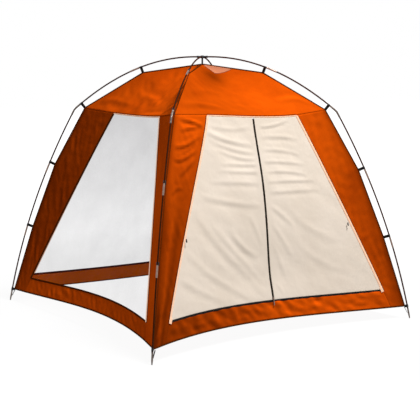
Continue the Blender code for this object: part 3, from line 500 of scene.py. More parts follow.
def middle(side, across, share):
    w = across * side["top"] / SHOULDER_W
    high = SHOULDER_Z - (side["sag"] + side.get("slant", 0.0) * w) * (1.0 - w ** 2)
    u = across * side["hem"] / CORNER_W
    low = CORNER_Z + (side["rise"] + side["lean"] * u) * (1.0 - u ** 2)
    height = blend(high, low, share)
    depth = blend(CORNER_W, SHOULDER_W, (height - CORNER_Z) / WALL_DROP)
    x = across * half_width(side, share, across < 0.0)
    bow = blend(side["seam_bow"], side["hem_bow"], share)
    inward = bow * (1.0 - (x / ridge_on_wall(share)[0]) ** 2)
    return np.stack([x, inward - depth, height + 0.0 * x], -1)


def grid_of(across, share):
    return np.broadcast_arrays(np.asarray(across, float), np.asarray(share, float))


def wall(side, across, share):
    across, share = grid_of(across, share)
    point = middle(side, np.clip(across, -1.0, 1.0), share)
    width, height = ridge_on_wall(share)
    ridge = np.stack([np.sign(across) * width, -width, height], -1)
    return blend(point, ridge, np.clip(np.abs(across) - 1.0, 0.0, 1.0)[..., None])


def roof(side, across, share):
    across, share = grid_of(across, share)
    seam = wall(side, across, 0.0 * across)
    point = blend(np.array([0.0, 0.0, APEX_Z]), seam, share[..., None])
    ridge_height = np.interp(SHOULDER_W * share, RIDGE_W[:3], RIDGE_Z[:3])
    bump = ridge_height - blend(APEX_Z, SHOULDER_Z, share)
    point[..., 2] += bump * (np.abs(seam[..., 0]) / SHOULDER_W) ** ROOF_BUMP_POWER
    return point


def turned(points, side):
    angle = side["turn"] * math.pi / 2.0
    c, s = math.cos(angle), math.sin(angle)
    x, y, z = np.moveaxis(points, -1, 0)
    return np.stack([c * x - s * y, s * x + c * y, z], -1)


def metric(side, across, share):
    """Surface coordinates in metres, for creases and waves."""
    point = wall(side, across, share)
    return point[..., 0], share * WALL_DROP + 0.0 * point[..., 0]


def edge_width(side, share, sign):
    """Width of a strip's cloth at a share of the drop, for one step of `across`."""
    return np.linalg.norm(wall(side, 2.0 * sign, share) - wall(side, sign, share), axis=-1)


# Relief: waves, noise and creases that are laid over the smooth surfaces
def smoothstep(value):
    value = np.clip(value, 0.0, 1.0)
    return value * value * (3.0 - 2.0 * value)


def edge_fade(value, low, high, margin, high_margin=None):
    """1 inside, falling to 0 at both ends of a range."""
    return smoothstep((value - low) / margin) * smoothstep((high - value) / (high_margin or margin))


def inside(across, share, margins, low=0.0, high=1.0, end=1.0):
    """1 inside a cloth, falling to 0 at its sides, top and bottom."""
    sides = smoothstep((end - np.abs(across)) / margins[0])
    return sides * edge_fade(share, low, high, *margins[1:])


def bell(value, centre, width):
    return np.exp(-((value - centre) / width) ** 2)


def bells(value, rows):
    return sum(gain * bell(value, centre, width) for centre, width, gain in rows)


def waves(u, v, seed, count, size, stretch=1.0, bearing=0.0, spread=math.pi):
    """Patchy sum of sine waves; u and v in metres, size the wavelength, bearing that of their
    crests. The plain numbers are rates of the slower waves, as shares of each wave's own."""
    rng = np.random.default_rng(seed)
    total = np.zeros(np.broadcast(u, v).shape)
    for _ in range(count):
        angle = bearing + rng.uniform(-0.5, 0.5) * spread
        turn = TURN / (size * rng.uniform(0.6, 1.7))
        bend_phase, patch_phase, phase, end_phase = [rng.uniform(0.0, 6.3) for _ in range(4)]
        across = -math.sin(angle) * u + math.cos(angle) * v
        along = (math.cos(angle) * u + math.sin(angle) * v) / stretch
        bend = 1.6 * np.sin(turn * 0.31 * along + bend_phase)
        patch = 0.5 + 0.5 * np.sin(turn * 0.21 * (across + 1.7 * along) + patch_phase)
        end = np.cos(turn * 0.43 * along + end_phase)
        total += patch ** 2 * np.sin(turn * across + bend + phase) * end
    return 1.6 * total / math.sqrt(count)


def wave_sum(u, v, seed, layers):
    """Layers of waves, each with its own seed."""
    return sum(height * waves(u, v, seed + n, *shape) for n, (height, *shape) in enumerate(layers))


def crease(u, v, line, width, height):
    """A fold along a smooth line of (u, v) points: a ridge with a valley on its lower side."""
    line = np.array(line, float)
    count = len(line)
    t = np.linspace(0.0, count - 1.0, CREASE_POINTS * (count - 1) + 1)
    fit = [np.polyfit(np.arange(count), line[:, k], count - 1) for k in (0, 1)]
    path = np.stack([np.polyval(f, t) for f in fit], -1)
    step = directions(path)
    du, dv = u[..., None] - path[:, 0], v[..., None] - path[:, 1]
    nearest = np.argmin(du ** 2 + dv ** 2, axis=-1)
    du, dv = (np.take_along_axis(d, nearest[..., None], -1)[..., 0] for d in (du, dv))
    side = step[nearest, 0] * dv - step[nearest, 1] * du
    end = np.abs(step[nearest, 0] * du + step[nearest, 1] * dv)
    fade = np.sin(math.pi * np.clip(nearest / (len(path) - 1.0), 0.0, 1.0)) ** CREASE_FADE_POWER
    depth, distance, valley_width = CREASE_VALLEY
    shape = bell(side, 0.0, width) - depth * bell(side, distance * width, valley_width * width)
    return height * shape * fade * bell(end, 0.0, CREASE_RUN_OUT * width)


def fold_sum(side, folds, across, share):
    u, v = metric(side, across, share)
    total = np.zeros(u.shape)
    straight = {**side, "left_bow": 0.0}
    for line, width, height in folds:
        points = np.stack(metric(straight, *np.array(line).T), -1)
        total += crease(u, v, points, width, height)
    return total


def zip_drift(share):
    """Sideways and outward drift of the zip's line, none at its ends."""
    top = edge_fade(share, *ZIP_TOP_DRIFT)
    return ZIP_SHIFT * top, ZIP_BULGE * top - ZIP_LOW_BULGE * edge_fade(share, *ZIP_LOW_DRIFT)


def door_point(across, share):
    """The door's cloth; the drift of the zip's line fades towards the sides."""
    point = wall(SIDES["front"], across, share)
    shift, bulge = zip_drift(share)
    near = np.cos(np.clip(np.abs(across), 0.0, 1.0) * math.pi / 2.0) ** 2
    point[..., 0] += shift * near
    point[..., 1] -= bulge * near
    return point


def lifted(points, relief):
    """A grid moved along its outward normals; its rows run down and its columns to the right."""
    normals = unit(np.cross(np.gradient(points, axis=0), np.gradient(points, axis=1)))
    return points + normals * relief[..., None]


# Materials
def feed(tree, socket, value):
    """Sets a socket to a value, or links another node's output to it."""
    if isinstance(value, bpy.types.NodeSocket):
        tree.links.new(value, socket)
    else:
        socket.default_value = value


def add_node(tree, kind, **inputs):
    """A shader node with its inputs, each a value or another node's output."""
    node = tree.nodes.new(f"ShaderNode{kind}")
    for name, value in inputs.items():
        feed(tree, node.inputs[name.replace("_", " ")], value)
    return node


def principled(name, roughness, metallic=0.0, **sockets):
    material = bpy.data.materials.new(name)
    material.use_nodes = True
    tree = material.node_tree
    shader = tree.nodes["Principled BSDF"]
    for socket, value in {"Roughness": roughness, "Metallic": metallic, **sockets}.items():
        shader.inputs[socket.replace("_", " ")].default_value = value
    return material, tree, shader


def noise_in(tree, scale, detail=4.0, roughness=0.55):
    """A noise texture in the piece's own metres."""
    place = add_node(tree, "TexCoord").outputs["Object"]
    noise = add_node(tree, "TexNoise", Vector=place, Scale=scale, Detail=detail, Roughness=roughness)
    return noise.outputs["Fac"]


def ramp(tree, value, *stops):
    node = add_node(tree, "ValToRGB", Fac=value)
    elements = node.color_ramp.elements
    while len(elements) < len(stops):
        elements.new(0.5)
    for element, (position, color) in zip(elements, stops):
        element.position = position
        element.color = (*color, 1.0)
    return node.outputs["Color"]


def map_range(tree, value, start, end, low, high):
    return add_node(tree, "MapRange", Value=value, From_Min=start, From_Max=end, To_Min=low,
                    To_Max=high).outputs["Result"]


def math_node(tree, operation, *values):
    node = add_node(tree, "Math")
    node.operation = operation
    for socket, value in zip(node.inputs, values):
        feed(tree, socket, value)
    return node.outputs[0]


def mixed(tree, share, first, second):
    """The output of a mix of two shaders."""
    node = add_node(tree, "MixShader")
    for socket, value in zip(node.inputs, (share, first, second)):
        feed(tree, socket, value)
    return node.outputs[0]


def bumps(tree, shader, *layers):
    """Chains bump nodes; each layer is (height output, strength, distance in metres)."""
    below = {}
    for height, strength, distance in layers:
        node = add_node(tree, "Bump", Strength=strength, Distance=distance, Height=height, **below)
        below = {"Normal": node.outputs["Normal"]}
    feed(tree, shader.inputs["Normal"], below["Normal"])


def flat_place(tree):
    """The cloth's own flat coordinates, in metres: along its rows and down its columns."""
    flat = add_node(tree, "UVMap")
    flat.uv_map = "flat"
    return add_node(tree, "SeparateXYZ", Vector=flat.outputs["UV"]).outputs[:2]


def ripple(tree, value, pitch, operation="SINE"):
    """A sine of a length, with that pitch."""
    return math_node(tree, operation, math_node(tree, "MULTIPLY", value, TURN / pitch))


# Noise in the cloth, as (scale, detail, roughness), and its weave
MOTTLE, FINE_CRINKLE, BROAD_CRINKLE = (3.2, 6.0, 0.6), (38.0, 5.0, 0.6), (9.0, 3.0)
THREAD_PITCH = 0.0012
# The net is denser with height; its cloudiness and its threads add to that
NET_PITCH = 0.0032
NET_HEIGHTS, NET_DENSITY = (0.35, 1.60), (0.10, 0.25)
NET_CLOUD, NET_THREADS, NET_THREAD_POWER = 0.13, 0.05, 6.0
# A tape's ribs, and its stitches with the levels of two sines above which one shows
STITCH_PITCH, STITCH_ROW_PITCH, RIB_PITCH = 0.0045, 0.010, 0.0016
STITCH_GAP, STITCH_WIDTH = -0.2, 0.90


def make_cloth(name, dark, colour, light, roughness, crinkle, specular, sheen):
    """Woven cloth; its colour is scaled by the tone that each piece carries, which is painted light and
    shade.
    """
    material, tree, shader = principled(
        name, roughness, Sheen_Weight=0.02, Sheen_Roughness=0.45, Sheen_Tint=(*sheen, 1.0),
        Specular_IOR_Level=specular)
    shade = add_node(tree, "Attribute")
    shade.attribute_name = "tone"
    toned = add_node(tree, "VectorMath")
    toned.operation = "SCALE"
    mottle = noise_in(tree, *MOTTLE)
    feed(tree, toned.inputs[0], ramp(tree, mottle, (0.30, dark), (0.52, colour), (0.75, light)))
    feed(tree, toned.inputs["Scale"], shade.outputs["Fac"])
    feed(tree, shader.inputs["Base Color"], toned.outputs[0])
    threads = math_node(tree, "MULTIPLY",
                        *(ripple(tree, way, THREAD_PITCH) for way in flat_place(tree)))
    broad, fine = noise_in(tree, *BROAD_CRINKLE), noise_in(tree, *FINE_CRINKLE)
    bumps(tree, shader, (broad, crinkle, 0.012), (fine, 0.5 * crinkle, 0.0035),
          (threads, 0.25, 0.0002))
    return material


def make_net():
    """Fine insect net: a grid of threads, see-through between them."""
    material, tree, shader = principled("insect_net", 0.75, Specular_IOR_Level=0.2)
    sines = [math_node(tree, "ABSOLUTE", ripple(tree, way, NET_PITCH)) for way in flat_place(tree)]
    threads = math_node(tree, "MAXIMUM",
                        *(math_node(tree, "POWER", sine, NET_THREAD_POWER) for sine in sines))
    place = add_node(tree, "TexCoord").outputs["Object"]
    height = add_node(tree, "SeparateXYZ", Vector=place).outputs[2]
    dense = map_range(tree, height, *NET_HEIGHTS, *NET_DENSITY)
    cloud = math_node(tree, "SUBTRACT", noise_in(tree, 4.5), 0.5)
    base = math_node(tree, "ADD", dense, math_node(tree, "MULTIPLY", cloud, NET_CLOUD))
    alpha = math_node(tree, "ADD", base, math_node(tree, "MULTIPLY", threads, NET_THREADS))
    feed(tree, shader.inputs["Alpha"], alpha)
    tone = ramp(tree, noise_in(tree, 2.5, 3.0), (0.3, (0.065, 0.030, 0.080)),
                (0.7, (0.085, 0.045, 0.100)))
    feed(tree, shader.inputs["Base Color"], tone)
    bumps(tree, shader, (threads, 0.3, 0.0004))
    return material


def make_tape(name, base, thread, roughness=0.7, sheen=0.1, specular=0.3):
    """Woven binding or piping with a row of lockstitches along it."""
    material, tree, shader = principled(name, roughness, Sheen_Weight=sheen, Specular_IOR_Level=specular)
    along, across = flat_place(tree)
    stitch = math_node(
        tree, "MULTIPLY", math_node(tree, "GREATER_THAN", ripple(tree, along, STITCH_PITCH), STITCH_GAP),
        math_node(tree, "GREATER_THAN", ripple(tree, across, STITCH_ROW_PITCH, "COSINE"), STITCH_WIDTH))
    cloth = ramp(tree, noise_in(tree, 60.0), (0.3, tuple(0.75 * c for c in base)), (0.7, base))
    mix = add_node(tree, "Mix")
    mix.data_type = "RGBA"
    for socket, value in (("A", cloth), ("B", (*thread, 1.0)), ("Factor", stitch)):
        feed(tree, mix.inputs[socket], value)
    feed(tree, shader.inputs["Base Color"], mix.outputs["Result"])
    bumps(tree, shader, (ripple(tree, along, RIB_PITCH), 0.3, 0.0004), (stitch, 0.5, 0.0006))
    return material


def make_hard(name, low, high, roughness, metallic, grain, depth, **sockets):
    """Plastic, lacquer or metal with slight wear in colour, roughness and relief."""
    material, tree, shader = principled(name, roughness, metallic, **sockets)
    wear = noise_in(tree, grain, 6.0)
    feed(tree, shader.inputs["Base Color"], ramp(tree, wear, (0.35, low), (0.68, high)))
    feed(tree, shader.inputs["Roughness"],
         map_range(tree, wear, 0.0, 1.0, roughness - 0.07, roughness + 0.10))
    bumps(tree, shader, (noise_in(tree, grain * 8.0, 3.0), 0.25, depth))
    return material


def glow(material, colour, strength):
    """Lets a material glow, which stands for the light that passes through the cloth."""
    shader = material.node_tree.nodes["Principled BSDF"]
    shader.inputs["Emission Color"].default_value = (*colour, 1.0)
    shader.inputs["Emission Strength"].default_value = strength


ORANGE = make_cloth("orange_cloth", (0.44, 0.052, 0.0010), (0.52, 0.064, 0.0012), (0.58, 0.074, 0.0015),
                    0.50, 0.30, 0.0, (1.0, 0.35, 0.05))
CREAM = make_cloth("cream_cloth", (0.82, 0.705, 0.585), (0.86, 0.745, 0.625), (0.89, 0.775, 0.66),
                   0.65, 0.22, 0.15, (1.0, 0.95, 0.9))
# The orange cloth's inner face is paler and glows: painted light for the light that passes through the
# cloth
ORANGE_INSIDE = make_hard("orange_inside_lit", (0.78, 0.155, 0.002), (0.92, 0.20, 0.003), 0.6, 0.0,
                          5.0, 0.0002, Specular_IOR_Level=0.0)
CREAM_INSIDE = make_cloth("cream_inside", (0.80, 0.69, 0.57), (0.84, 0.73, 0.61), (0.87, 0.76, 0.645),
                          0.65, 0.22, 0.10, (1.0, 0.95, 0.9))
# Paler cloth of the painted highlight beside the peak
PEAK_HIGHLIGHT = make_cloth("peak_highlight", (0.48, 0.16, 0.075), (0.54, 0.19, 0.095), (0.59, 0.215, 0.11),
                   0.45, 0.10, 0.10, (1.0, 0.7, 0.5))
NET = make_net()
# Brown binding; beside the openings and on the windows' left-hand edges it is painted shade
BROWN_TAPE = make_tape("brown_binding_and_shade", (0.12, 0.024, 0.003), (0.17, 0.05, 0.008), 0.8, 0.0, 0.0)
SEAM_TAPE = make_tape("orange_seam", (0.50, 0.062, 0.0012), (0.53, 0.068, 0.0015), 0.7, 0.0, 0.0)
# Dark tape of the head seam, which also paints the shade along it
HEAD_TAPE = make_tape("head_seam_and_shade", (0.17, 0.027, 0.001), (0.20, 0.034, 0.002), 0.8, 0.0, 0.0)
CREAM_TAPE = make_tape("cream_piping", (1.0, 0.60, 0.38), (1.0, 0.78, 0.62))
WINDOW_TAPE = make_tape("window_piping_lit", (1.0, 0.60, 0.40), (1.0, 0.78, 0.62))
# Black webbing, also the front's sill with its painted shadow
BLACK_TAPE = make_tape("webbing_and_sill_shadow", (0.014, 0.012, 0.011), (0.04, 0.04, 0.04), 0.8, 0.0, 0.10)
ROD = make_hard("pole_lacquer", (0.050, 0.013, 0.005), (0.066, 0.019, 0.008), 0.60, 0.0, 30.0, 0.0002,
                Specular_IOR_Level=0.0)
STEEL = make_hard("bare_steel", (0.22, 0.155, 0.125), (0.30, 0.21, 0.17), 0.32, 1.0, 45.0, 0.0002)
DULL_STEEL = make_hard("dull_steel", (0.11, 0.088, 0.076), (0.17, 0.135, 0.115), 0.36, 1.0, 45.0, 0.0002)
PLASTIC = make_hard("moulded_plastic", (0.010, 0.010, 0.011), (0.020, 0.020, 0.022), 0.5, 0.0, 80.0,
                    0.0002, Specular_IOR_Level=0.25)
ZIP = make_hard("zip_coil", (0.010, 0.007, 0.004), (0.022, 0.015, 0.009), 0.6, 0.0, 90.0, 0.0001,
                Specular_IOR_Level=0.05)
# Painted light: these glows stand for the light that passes through the cloth and the piping
glow(ORANGE_INSIDE, (1.0, 0.20, 0.002), 0.07)
glow(CREAM_INSIDE, (1.0, 0.86, 0.70), 0.20)
glow(CREAM_TAPE, (1.0, 0.62, 0.44), 0.26)
glow(WINDOW_TAPE, (1.0, 0.62, 0.44), 0.45)
INSIDE_OF = {ORANGE: ORANGE_INSIDE, CREAM: CREAM_INSIDE}
# How strongly the painted light and shade on the slopes of folds change the cloth's lightness
FOLD_SHADE_DEPTH = {ORANGE: 1.0, CREAM: 0.0, NET: 0.0, PEAK_HIGHLIGHT: 0.0}


# Pieces
def add_piece(name, vertices, faces, material, uvs):
    """A mesh piece; uvs holds the flat place in metres of each vertex."""
    data = bpy.data.meshes.new(name)
    data.from_pydata([tuple(v) for v in vertices.reshape(-1, 3)], [], faces)
    layer = data.uv_layers.new(name="flat")
    loops = np.zeros(len(data.loops), dtype=np.int32)
    data.loops.foreach_get("vertex_index", loops)
    layer.data.foreach_set("uv", np.asarray(uvs.reshape(-1, 2), np.float32)[loops].ravel())
    data.materials.append(material)
    data.validate()
    data.shade_smooth()
    piece = bpy.data.objects.new(name, data)
    bpy.context.scene.collection.objects.link(piece)
    return piece


def dress(piece, *nodes):
    """Puts a piece on the shelter's own body, in place of those CAD nodes."""
    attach(piece, "shelter")
    if nodes:
        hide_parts(*nodes)


def flat_coordinates(points):
    """Lengths along the rows and down the columns of a grid, in metres."""
    along, down = np.zeros((2, *points.shape[:2]))
    along[:, 1:] = np.cumsum(step_lengths(points, 1), axis=1)
    along -= along[:, points.shape[1] // 2][:, None]
    down[1:] = np.cumsum(step_lengths(points, 0), axis=0)
    return np.stack([along, down], -1)


def fold_shaded(points, relief, tone, depth):
    """Cloth's lightness: its tone, with painted light on the lit side of folds and painted shade on the
    other.
    """
    slope = sum(gain * np.gradient(relief, axis=axis)
                / np.linalg.norm(np.gradient(points, axis=axis), axis=-1)
                for gain, axis in zip(SLOPE_LIGHT_AND_SHADE, (1, 0)))
    return np.clip(tone * np.exp(-depth * slope), *TONE_RANGE)


def cloth_piece(name, side, points, relief, material, tone=1.0):
    """A sheet of cloth from a smooth grid of points and its relief, with its flat cut as its UV map."""
    rows, columns = points.shape[:2]
    starts = [i * columns + j for i in range(rows - 1) for j in range(columns - 1)]
    faces = [(a, a + columns, a + columns + 1, a + 1) for a in starts]
    piece = add_piece(name, turned(lifted(points, relief), side), faces, material,
                      flat_coordinates(points))
    # Painted light and shade: the piece's tone, and the lit and shaded slopes of its folds
    tone = fold_shaded(points, relief, tone, FOLD_SHADE_DEPTH[material])
    piece.data.attributes.new("tone", "FLOAT", "POINT").data.foreach_set("value", np.ravel(tone))
    if material is not NET:
        shell = piece.modifiers.new("cloth", "SOLIDIFY")
        shell.thickness = CLOTH_THICKNESS
        shell.offset = -1.0
        if material in INSIDE_OF:
            piece.data.materials.append(INSIDE_OF[material])
            shell.material_offset = 1
    return piece


def circle(sides):
    """Angles and points of a circle."""
    angles = np.arange(sides) * TURN / sides
    return angles, np.stack([np.cos(angles), np.sin(angles)], -1)


def tape(name, points, out, width, thickness, material):
    """A flat band with round edges: it is wide along `out` and thin across it."""
    along = directions(points)
    out = unit(out - (out * along).sum(-1, keepdims=True) * along)
    _, ring = circle(BAND_SIDES)
    ring = np.sign(ring) * np.abs(ring) ** BAND_ROUNDNESS * (width / 2.0, thickness / 2.0)
    return sweep(name, points, out, np.cross(along, out), ring, ring[:, 0], material)


def tube(name, points, radii, material, sides=POLE_SIDES, reference=UP):
    """A round bar or sleeve along a path."""
    along = directions(points)
    first = unit(np.cross(along, reference))
    angles, ring = circle(sides)
    ring = ring * np.reshape(radii, (-1, 1, 1))
    return sweep(name, points, first, np.cross(along, first), ring, angles * POLE_RADIUS, material)


def sweep(name, points, first, second, ring, around, material):
    """Carries a ring along a path, as a closed skin with end caps; `around` is its flat place."""
    body = points[:, None] + first[:, None] * ring[..., :1] + second[:, None] * ring[..., 1:]
    uvs = np.stack(np.broadcast_arrays(run_along(points)[:, None], around[None]), -1)
    rings, sides = body.shape[:2]
    faces = []
    for i in range(rings - 1):
        for j in range(sides):
            k = (j + 1) % sides
            faces.append((i * sides + j, i * sides + k, (i + 1) * sides + k, (i + 1) * sides + j))
    faces.append(tuple(range(sides))[::-1])
    faces.append(tuple((rings - 1) * sides + j for j in range(sides)))
    piece = add_piece(name, body, faces, material, uvs)
    bm = bmesh.new()
    bm.from_mesh(piece.data)
    bmesh.ops.recalc_face_normals(bm, faces=bm.faces)
    bm.to_mesh(piece.data)
    bm.free()
    piece.data.set_sharp_from_angle(angle=SHARP_ANGLE)
    return piece


def join(name, parts):
    """One piece out of several meshes, with all their materials."""
    with bpy.context.temp_override(active_object=parts[0], selected_editable_objects=parts):
        bpy.ops.object.join()
    parts[0].name = name
    return parts[0]


# Fabric of the four sides
def spread(low, high, length, step=GRID_STEP):
    return np.linspace(low, high, max(4, int(round(length / step)) + 1))


def wall_grid(low, high, start, stop, width):
    """Places across and shares of the drop for a panel of that rough width."""
    return np.broadcast_arrays(spread(low, high, width)[None, :],
                               spread(start, stop, (stop - start) * WALL_DROP)[:, None])


def even(table, value):
    """Smooth reading of a table whose entries stand at even steps from 0 to 1."""
    spots = np.linspace(0.0, 1.0, len(table))
    return sum(np.interp(np.clip(value + shift, 0.0, 1.0), spots, table)
               for shift in (-TONE_BLUR, 0.0, TONE_BLUR)) / 3.0


# Painted light and shade on a strip: lighter or darker down it, shade beside the ridge, and along the
# roll
def strip_light_and_shade(name, hand, across, share):
    down, inner, outer, shade = STRIP_LIGHT_AND_SHADE.get((name, hand), OTHER_STRIP_LIGHT_AND_SHADE)
    out = np.abs(across)
    from_ridge = (2.0 - out) * edge_width(SIDES[name], share, np.sign(across))
    tone = even(down, share) * blend(inner, outer, smoothstep(out - 1.0))
    tone = tone * (1.0 - shade * bell(from_ridge, 0.0, RIDGE_SHADE_WIDTH))
    if (name, hand) == ("front", "left"):
        start, rise = ROLL_LIGHT_AND_SHADE_START
        tone = tone * (1.0 + smoothstep((share - start) / rise) * bells(out, ROLL_LIGHT_AND_SHADE))
    return tone


# Painted light and shade on a roof gore: a level with lighter and darker spots
def gore_light_and_shade(name, points):
    level, spots = GORE_LIGHT_AND_SHADE.get(name, (1.0, []))
    u, v = points[..., 0], -points[..., 1]
    tone = level + 0.0 * u
    for at_u, at_v, wide, high, gain in spots:
        tone = tone + gain * bell(u, at_u, wide) * bell(v, at_v, high)
    return tone


def strip_relief(name, hand, across, share, seed):
    """Folds of a corner strip, none at its seams."""
    side = SIDES[name]
    relief = wave_sum(*metric(side, across, share), seed, STRIP_WAVES)
    if (name, hand) == ("front", "left"):
        roll = bells(across, ROLL_RELIEF) * edge_fade(share, *ROLL_RANGE)
        relief = relief * FRONT_STRIP_LEVEL + fold_sum(side, STRIP_FOLDS, across, share) + roll
    sides, ends = STRIP_MARGINS
    return relief * edge_fade(np.abs(across), 1.0, 2.0, sides) * edge_fade(share, 0.0, 1.0, ends)


def wavy(side, across, share, seed, layers, margins, low, high):
    """Waves of a skirt or a net, none at its edges."""
    relief = wave_sum(*metric(side, across, share), seed, layers)
    return relief * inside(across, share, margins, low, high)


def roof_relief(name, across, share, points, seed):
    u, v = points[..., 0], -points[..., 1]
    folds = sum(crease(u, v, *fold) for fold in GORE_FOLDS.get(name, []))
    level = GORE_LEVELS.get(name, OTHER_GORE_LEVEL)
    relief = wave_sum(u, v, seed, GORE_WAVES) * level + folds
    return relief * inside(across, share, GORE_MARGINS, end=2.0)


def make_side(name, side, seed):
    """A side's roof gore, corner strips, skirt and, but for the front, its net window."""
    strips = [f"strip_{name}_left", f"strip_{name}_right"]
    across, share = np.broadcast_arrays(
        np.linspace(-2.0, 2.0, 1 + int(GORE_WIDTH / GRID_STEP))[None, :],
        spread(*GORE_SHARES, GORE_LENGTH)[:, None])
    points = roof(side, across, share)
    gore = cloth_piece(f"gore_{name}", side, points, roof_relief(name, across, share, points, seed),
                       ORANGE, gore_light_and_shade(name, points))
    dress(gore, *(["canopy_roof"] if name == "front" else []))
    for number, (hand, sign) in enumerate(HANDS):
        across, share = wall_grid(*sorted((sign, 2.0 * sign)), STRIP_TOP, 1.0, STRIP_WIDTH)
        relief = strip_relief(name, hand, across, share, seed + STRIP_SEED + number)
        strip = cloth_piece(strips[number], side, wall(side, across, share), relief, ORANGE,
                            strip_light_and_shade(name, hand, across, share))
        dress(strip, *([f"wall_{name}"] if hand == "left" else []))
    opening = sill_share(side)
    across, share = wall_grid(-1.0, 1.0, opening, 1.0, SKIRT_WIDTH)
    relief = wavy(side, across, share, seed + SKIRT_SEED, SKIRT_WAVES, SKIRT_MARGINS, opening, 1.0)
    relief *= 1.0 if name == "front" else OTHER_SKIRT_LEVEL
    # The skirt's tone is painted light and shade across it
    dress(cloth_piece(f"skirt_{name}", side, wall(side, across, share), relief, ORANGE,
                      even(SKIRT_LIGHT_AND_SHADE.get(name, (1.0, 1.0)), (across + 1.0) / 2.0)))
    if name != "front":
        across, share = wall_grid(-1.0, 1.0, NET_TOP, opening, NET_WIDTH)
        relief = wavy(side, across, share, seed + NET_SEED, NET_WAVES, NET_MARGINS, 0.0, opening)
        dress(cloth_piece(f"net_{name}", side, wall(side, across, share), relief, NET), f"window_{name}")


def make_peak_highlight(seed):
    """A pale triangle on the front gore beside the peak: a painted highlight for the sheen on the cloth
    there.
    """
    side = SIDES["front"]
    part = np.linspace(0.0, 1.0, HIGHLIGHT_COLUMNS)
    outer = blend(*HIGHLIGHT_REACH, part)[None, :]
    across, share = np.broadcast_arrays(blend(*HIGHLIGHT_ACROSS, part)[None, :],
                                        np.linspace(HIGHLIGHT_TOP, 1.0, HIGHLIGHT_ROWS)[:, None] * outer)
    points = roof(side, across, share)
    relief = roof_relief("front", across, share, points, seed) + HIGHLIGHT_LIFT
    dress(cloth_piece("peak_highlight", side, points, relief, PEAK_HIGHLIGHT))


# Bindings, piping and seams of a side
def band(kind, name, surface, side, across, share, material, out=None):
    """A band along a line of a side's surface, wide along `out` or else along the surface."""
    across, share = grid_of(across, share)
    tiny = 1e-3
    lift, width, thickness = BANDS[kind]
    right = surface(side, across + tiny, share) - surface(side, across - tiny, share)
    down = surface(side, across, share + tiny) - surface(side, across, share - tiny)
    normal = unit(np.cross(down, right))
    points = turned(surface(side, across, share) + normal * lift, side)
    if out is None:
        out = np.cross(directions(points), turned(normal, side))
    dress(tape(f"{kind}_{name}", points, out, width, thickness, material))
    return out


def make_trim(name, side):
    """Seams and piping of a side."""
    opening = sill_share(side)
    wide = np.linspace(-WIDE_REACH, WIDE_REACH, WIDE_POINTS)
    band("shoulder_seam", name, wall, side, wide, 0.0, SEAM_TAPE, UP)
    band("hem_binding", name, wall, side, wide, HEM_BINDING_SHARE, BROWN_TAPE, UP)
    rows = np.linspace(EDGE_TOP_SHARE, opening, EDGE_POINTS)
    for hand, sign in HANDS:
        # On a window, the right-hand piping glows as painted light and the left-hand piping is brown as
        # painted shade
        piping = CREAM_TAPE if name == "front" else WINDOW_TAPE if hand == "right" else BROWN_TAPE
        across = sign * (1.0 - PIPING_INWARDS / half_width(side, rows, sign < 0.0))
        inward = band("edge_piping", f"{name}_{hand}", wall, side, across, rows, piping)
        # A dark brown band beside the opening: a seam with painted shade along it
        across = sign * (1.0 + SEAM_OFFSET / edge_width(side, rows, sign))
        band("edge_seam_and_shade", f"{name}_{hand}", wall, side, across, rows, BROWN_TAPE, inward)
    inner = np.linspace(-SILL_REACH, SILL_REACH, SILL_POINTS)
    # The front's sill is black: a tape with the painted shadow under the door's hem
    band("sill", name, wall, side, inner, opening, BLACK_TAPE if name == "front" else BROWN_TAPE, UP)
    band("head_piping", name, wall, side, inner, HEAD_PIPING_SHARE, CREAM_TAPE, UP)
    # A dark band along the roof's lower edge above the opening: a seam with painted shade along it
    band("head_seam_and_shade", name, roof, side, inner, HEAD_SEAM_SHARE, HEAD_TAPE)
    if name == "front":
        shares = np.linspace(*TAB_SHARES, TAB_POINTS)
        for hand, sign in HANDS:
            across = sign * (1.0 - TAB_INWARDS / half_width(side, shares, sign < 0.0))
            band("door_tab", hand, wall, side, across, shares, CREAM_TAPE)


def make_ridges():
    """Bindings that stand on the four ridges, from the peak to the corners."""
    stretches = [np.linspace(a, b, RIDGE_POINTS)[:-1] for a, b in zip(RIDGE_W[:-1], RIDGE_W[1:])]
    widths = np.concatenate(stretches + [RIDGE_W[-1:]])
    heights = np.interp(widths, RIDGE_W, RIDGE_Z)
    lift, width, thickness = BANDS["ridge_binding"]
    for leg, degrees in LEGS.items():
        points = in_leg(widths * ROOT2, heights, degrees)
        level = in_leg(1.0, 0.0, degrees)
        out = np.cross(directions(points), np.cross(UP, level))
        out *= np.sign((out * (level + UP)).sum(-1, keepdims=True))
        dress(tape(f"ridge_binding_{leg}", points + out * lift, out, width, thickness, BROWN_TAPE))


# Door: two halves of cloth, with the zip between them
def make_door_half(hand, sign):
    side = SIDES["front"]
    share = spread(DOOR_TOP, DOOR_LOW, (DOOR_LOW - DOOR_TOP) * WALL_DROP, DOOR_STEP)[:, None]
    part = spread(0.0, 1.0, DOOR_HALF_WIDTH, DOOR_STEP)[None, :]
    edge = ZIP_EDGE / half_width(side, share, sign < 0.0)
    across = -blend(DOOR_OUTER, edge, part) if sign < 0.0 else blend(edge, DOOR_OUTER, part)
    across, share = np.broadcast_arrays(across, share)
    relief = DOOR_FOLD_LEVEL * fold_sum(side, DOOR_FOLDS, across, share)
    relief = relief + wave_sum(*metric(side, across, share), DOOR_SEED, DOOR_WAVES)
    near_zip = smoothstep((np.abs(across) - edge) / DOOR_ZIP_MARGIN)
    relief = relief * inside(across, share, DOOR_MARGINS, DOOR_TOP, DOOR_LOW)
    relief = relief * blend(DOOR_ZIP_LEVEL, 1.0, near_zip)
    piece = cloth_piece(f"door_cloth_{hand}", side, door_point(across, share), relief, CREAM)
    bend_at_fold(piece, hand)
    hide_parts(f"door_flap_{hand}", *(["door_panel"] if hand == "left" else []))


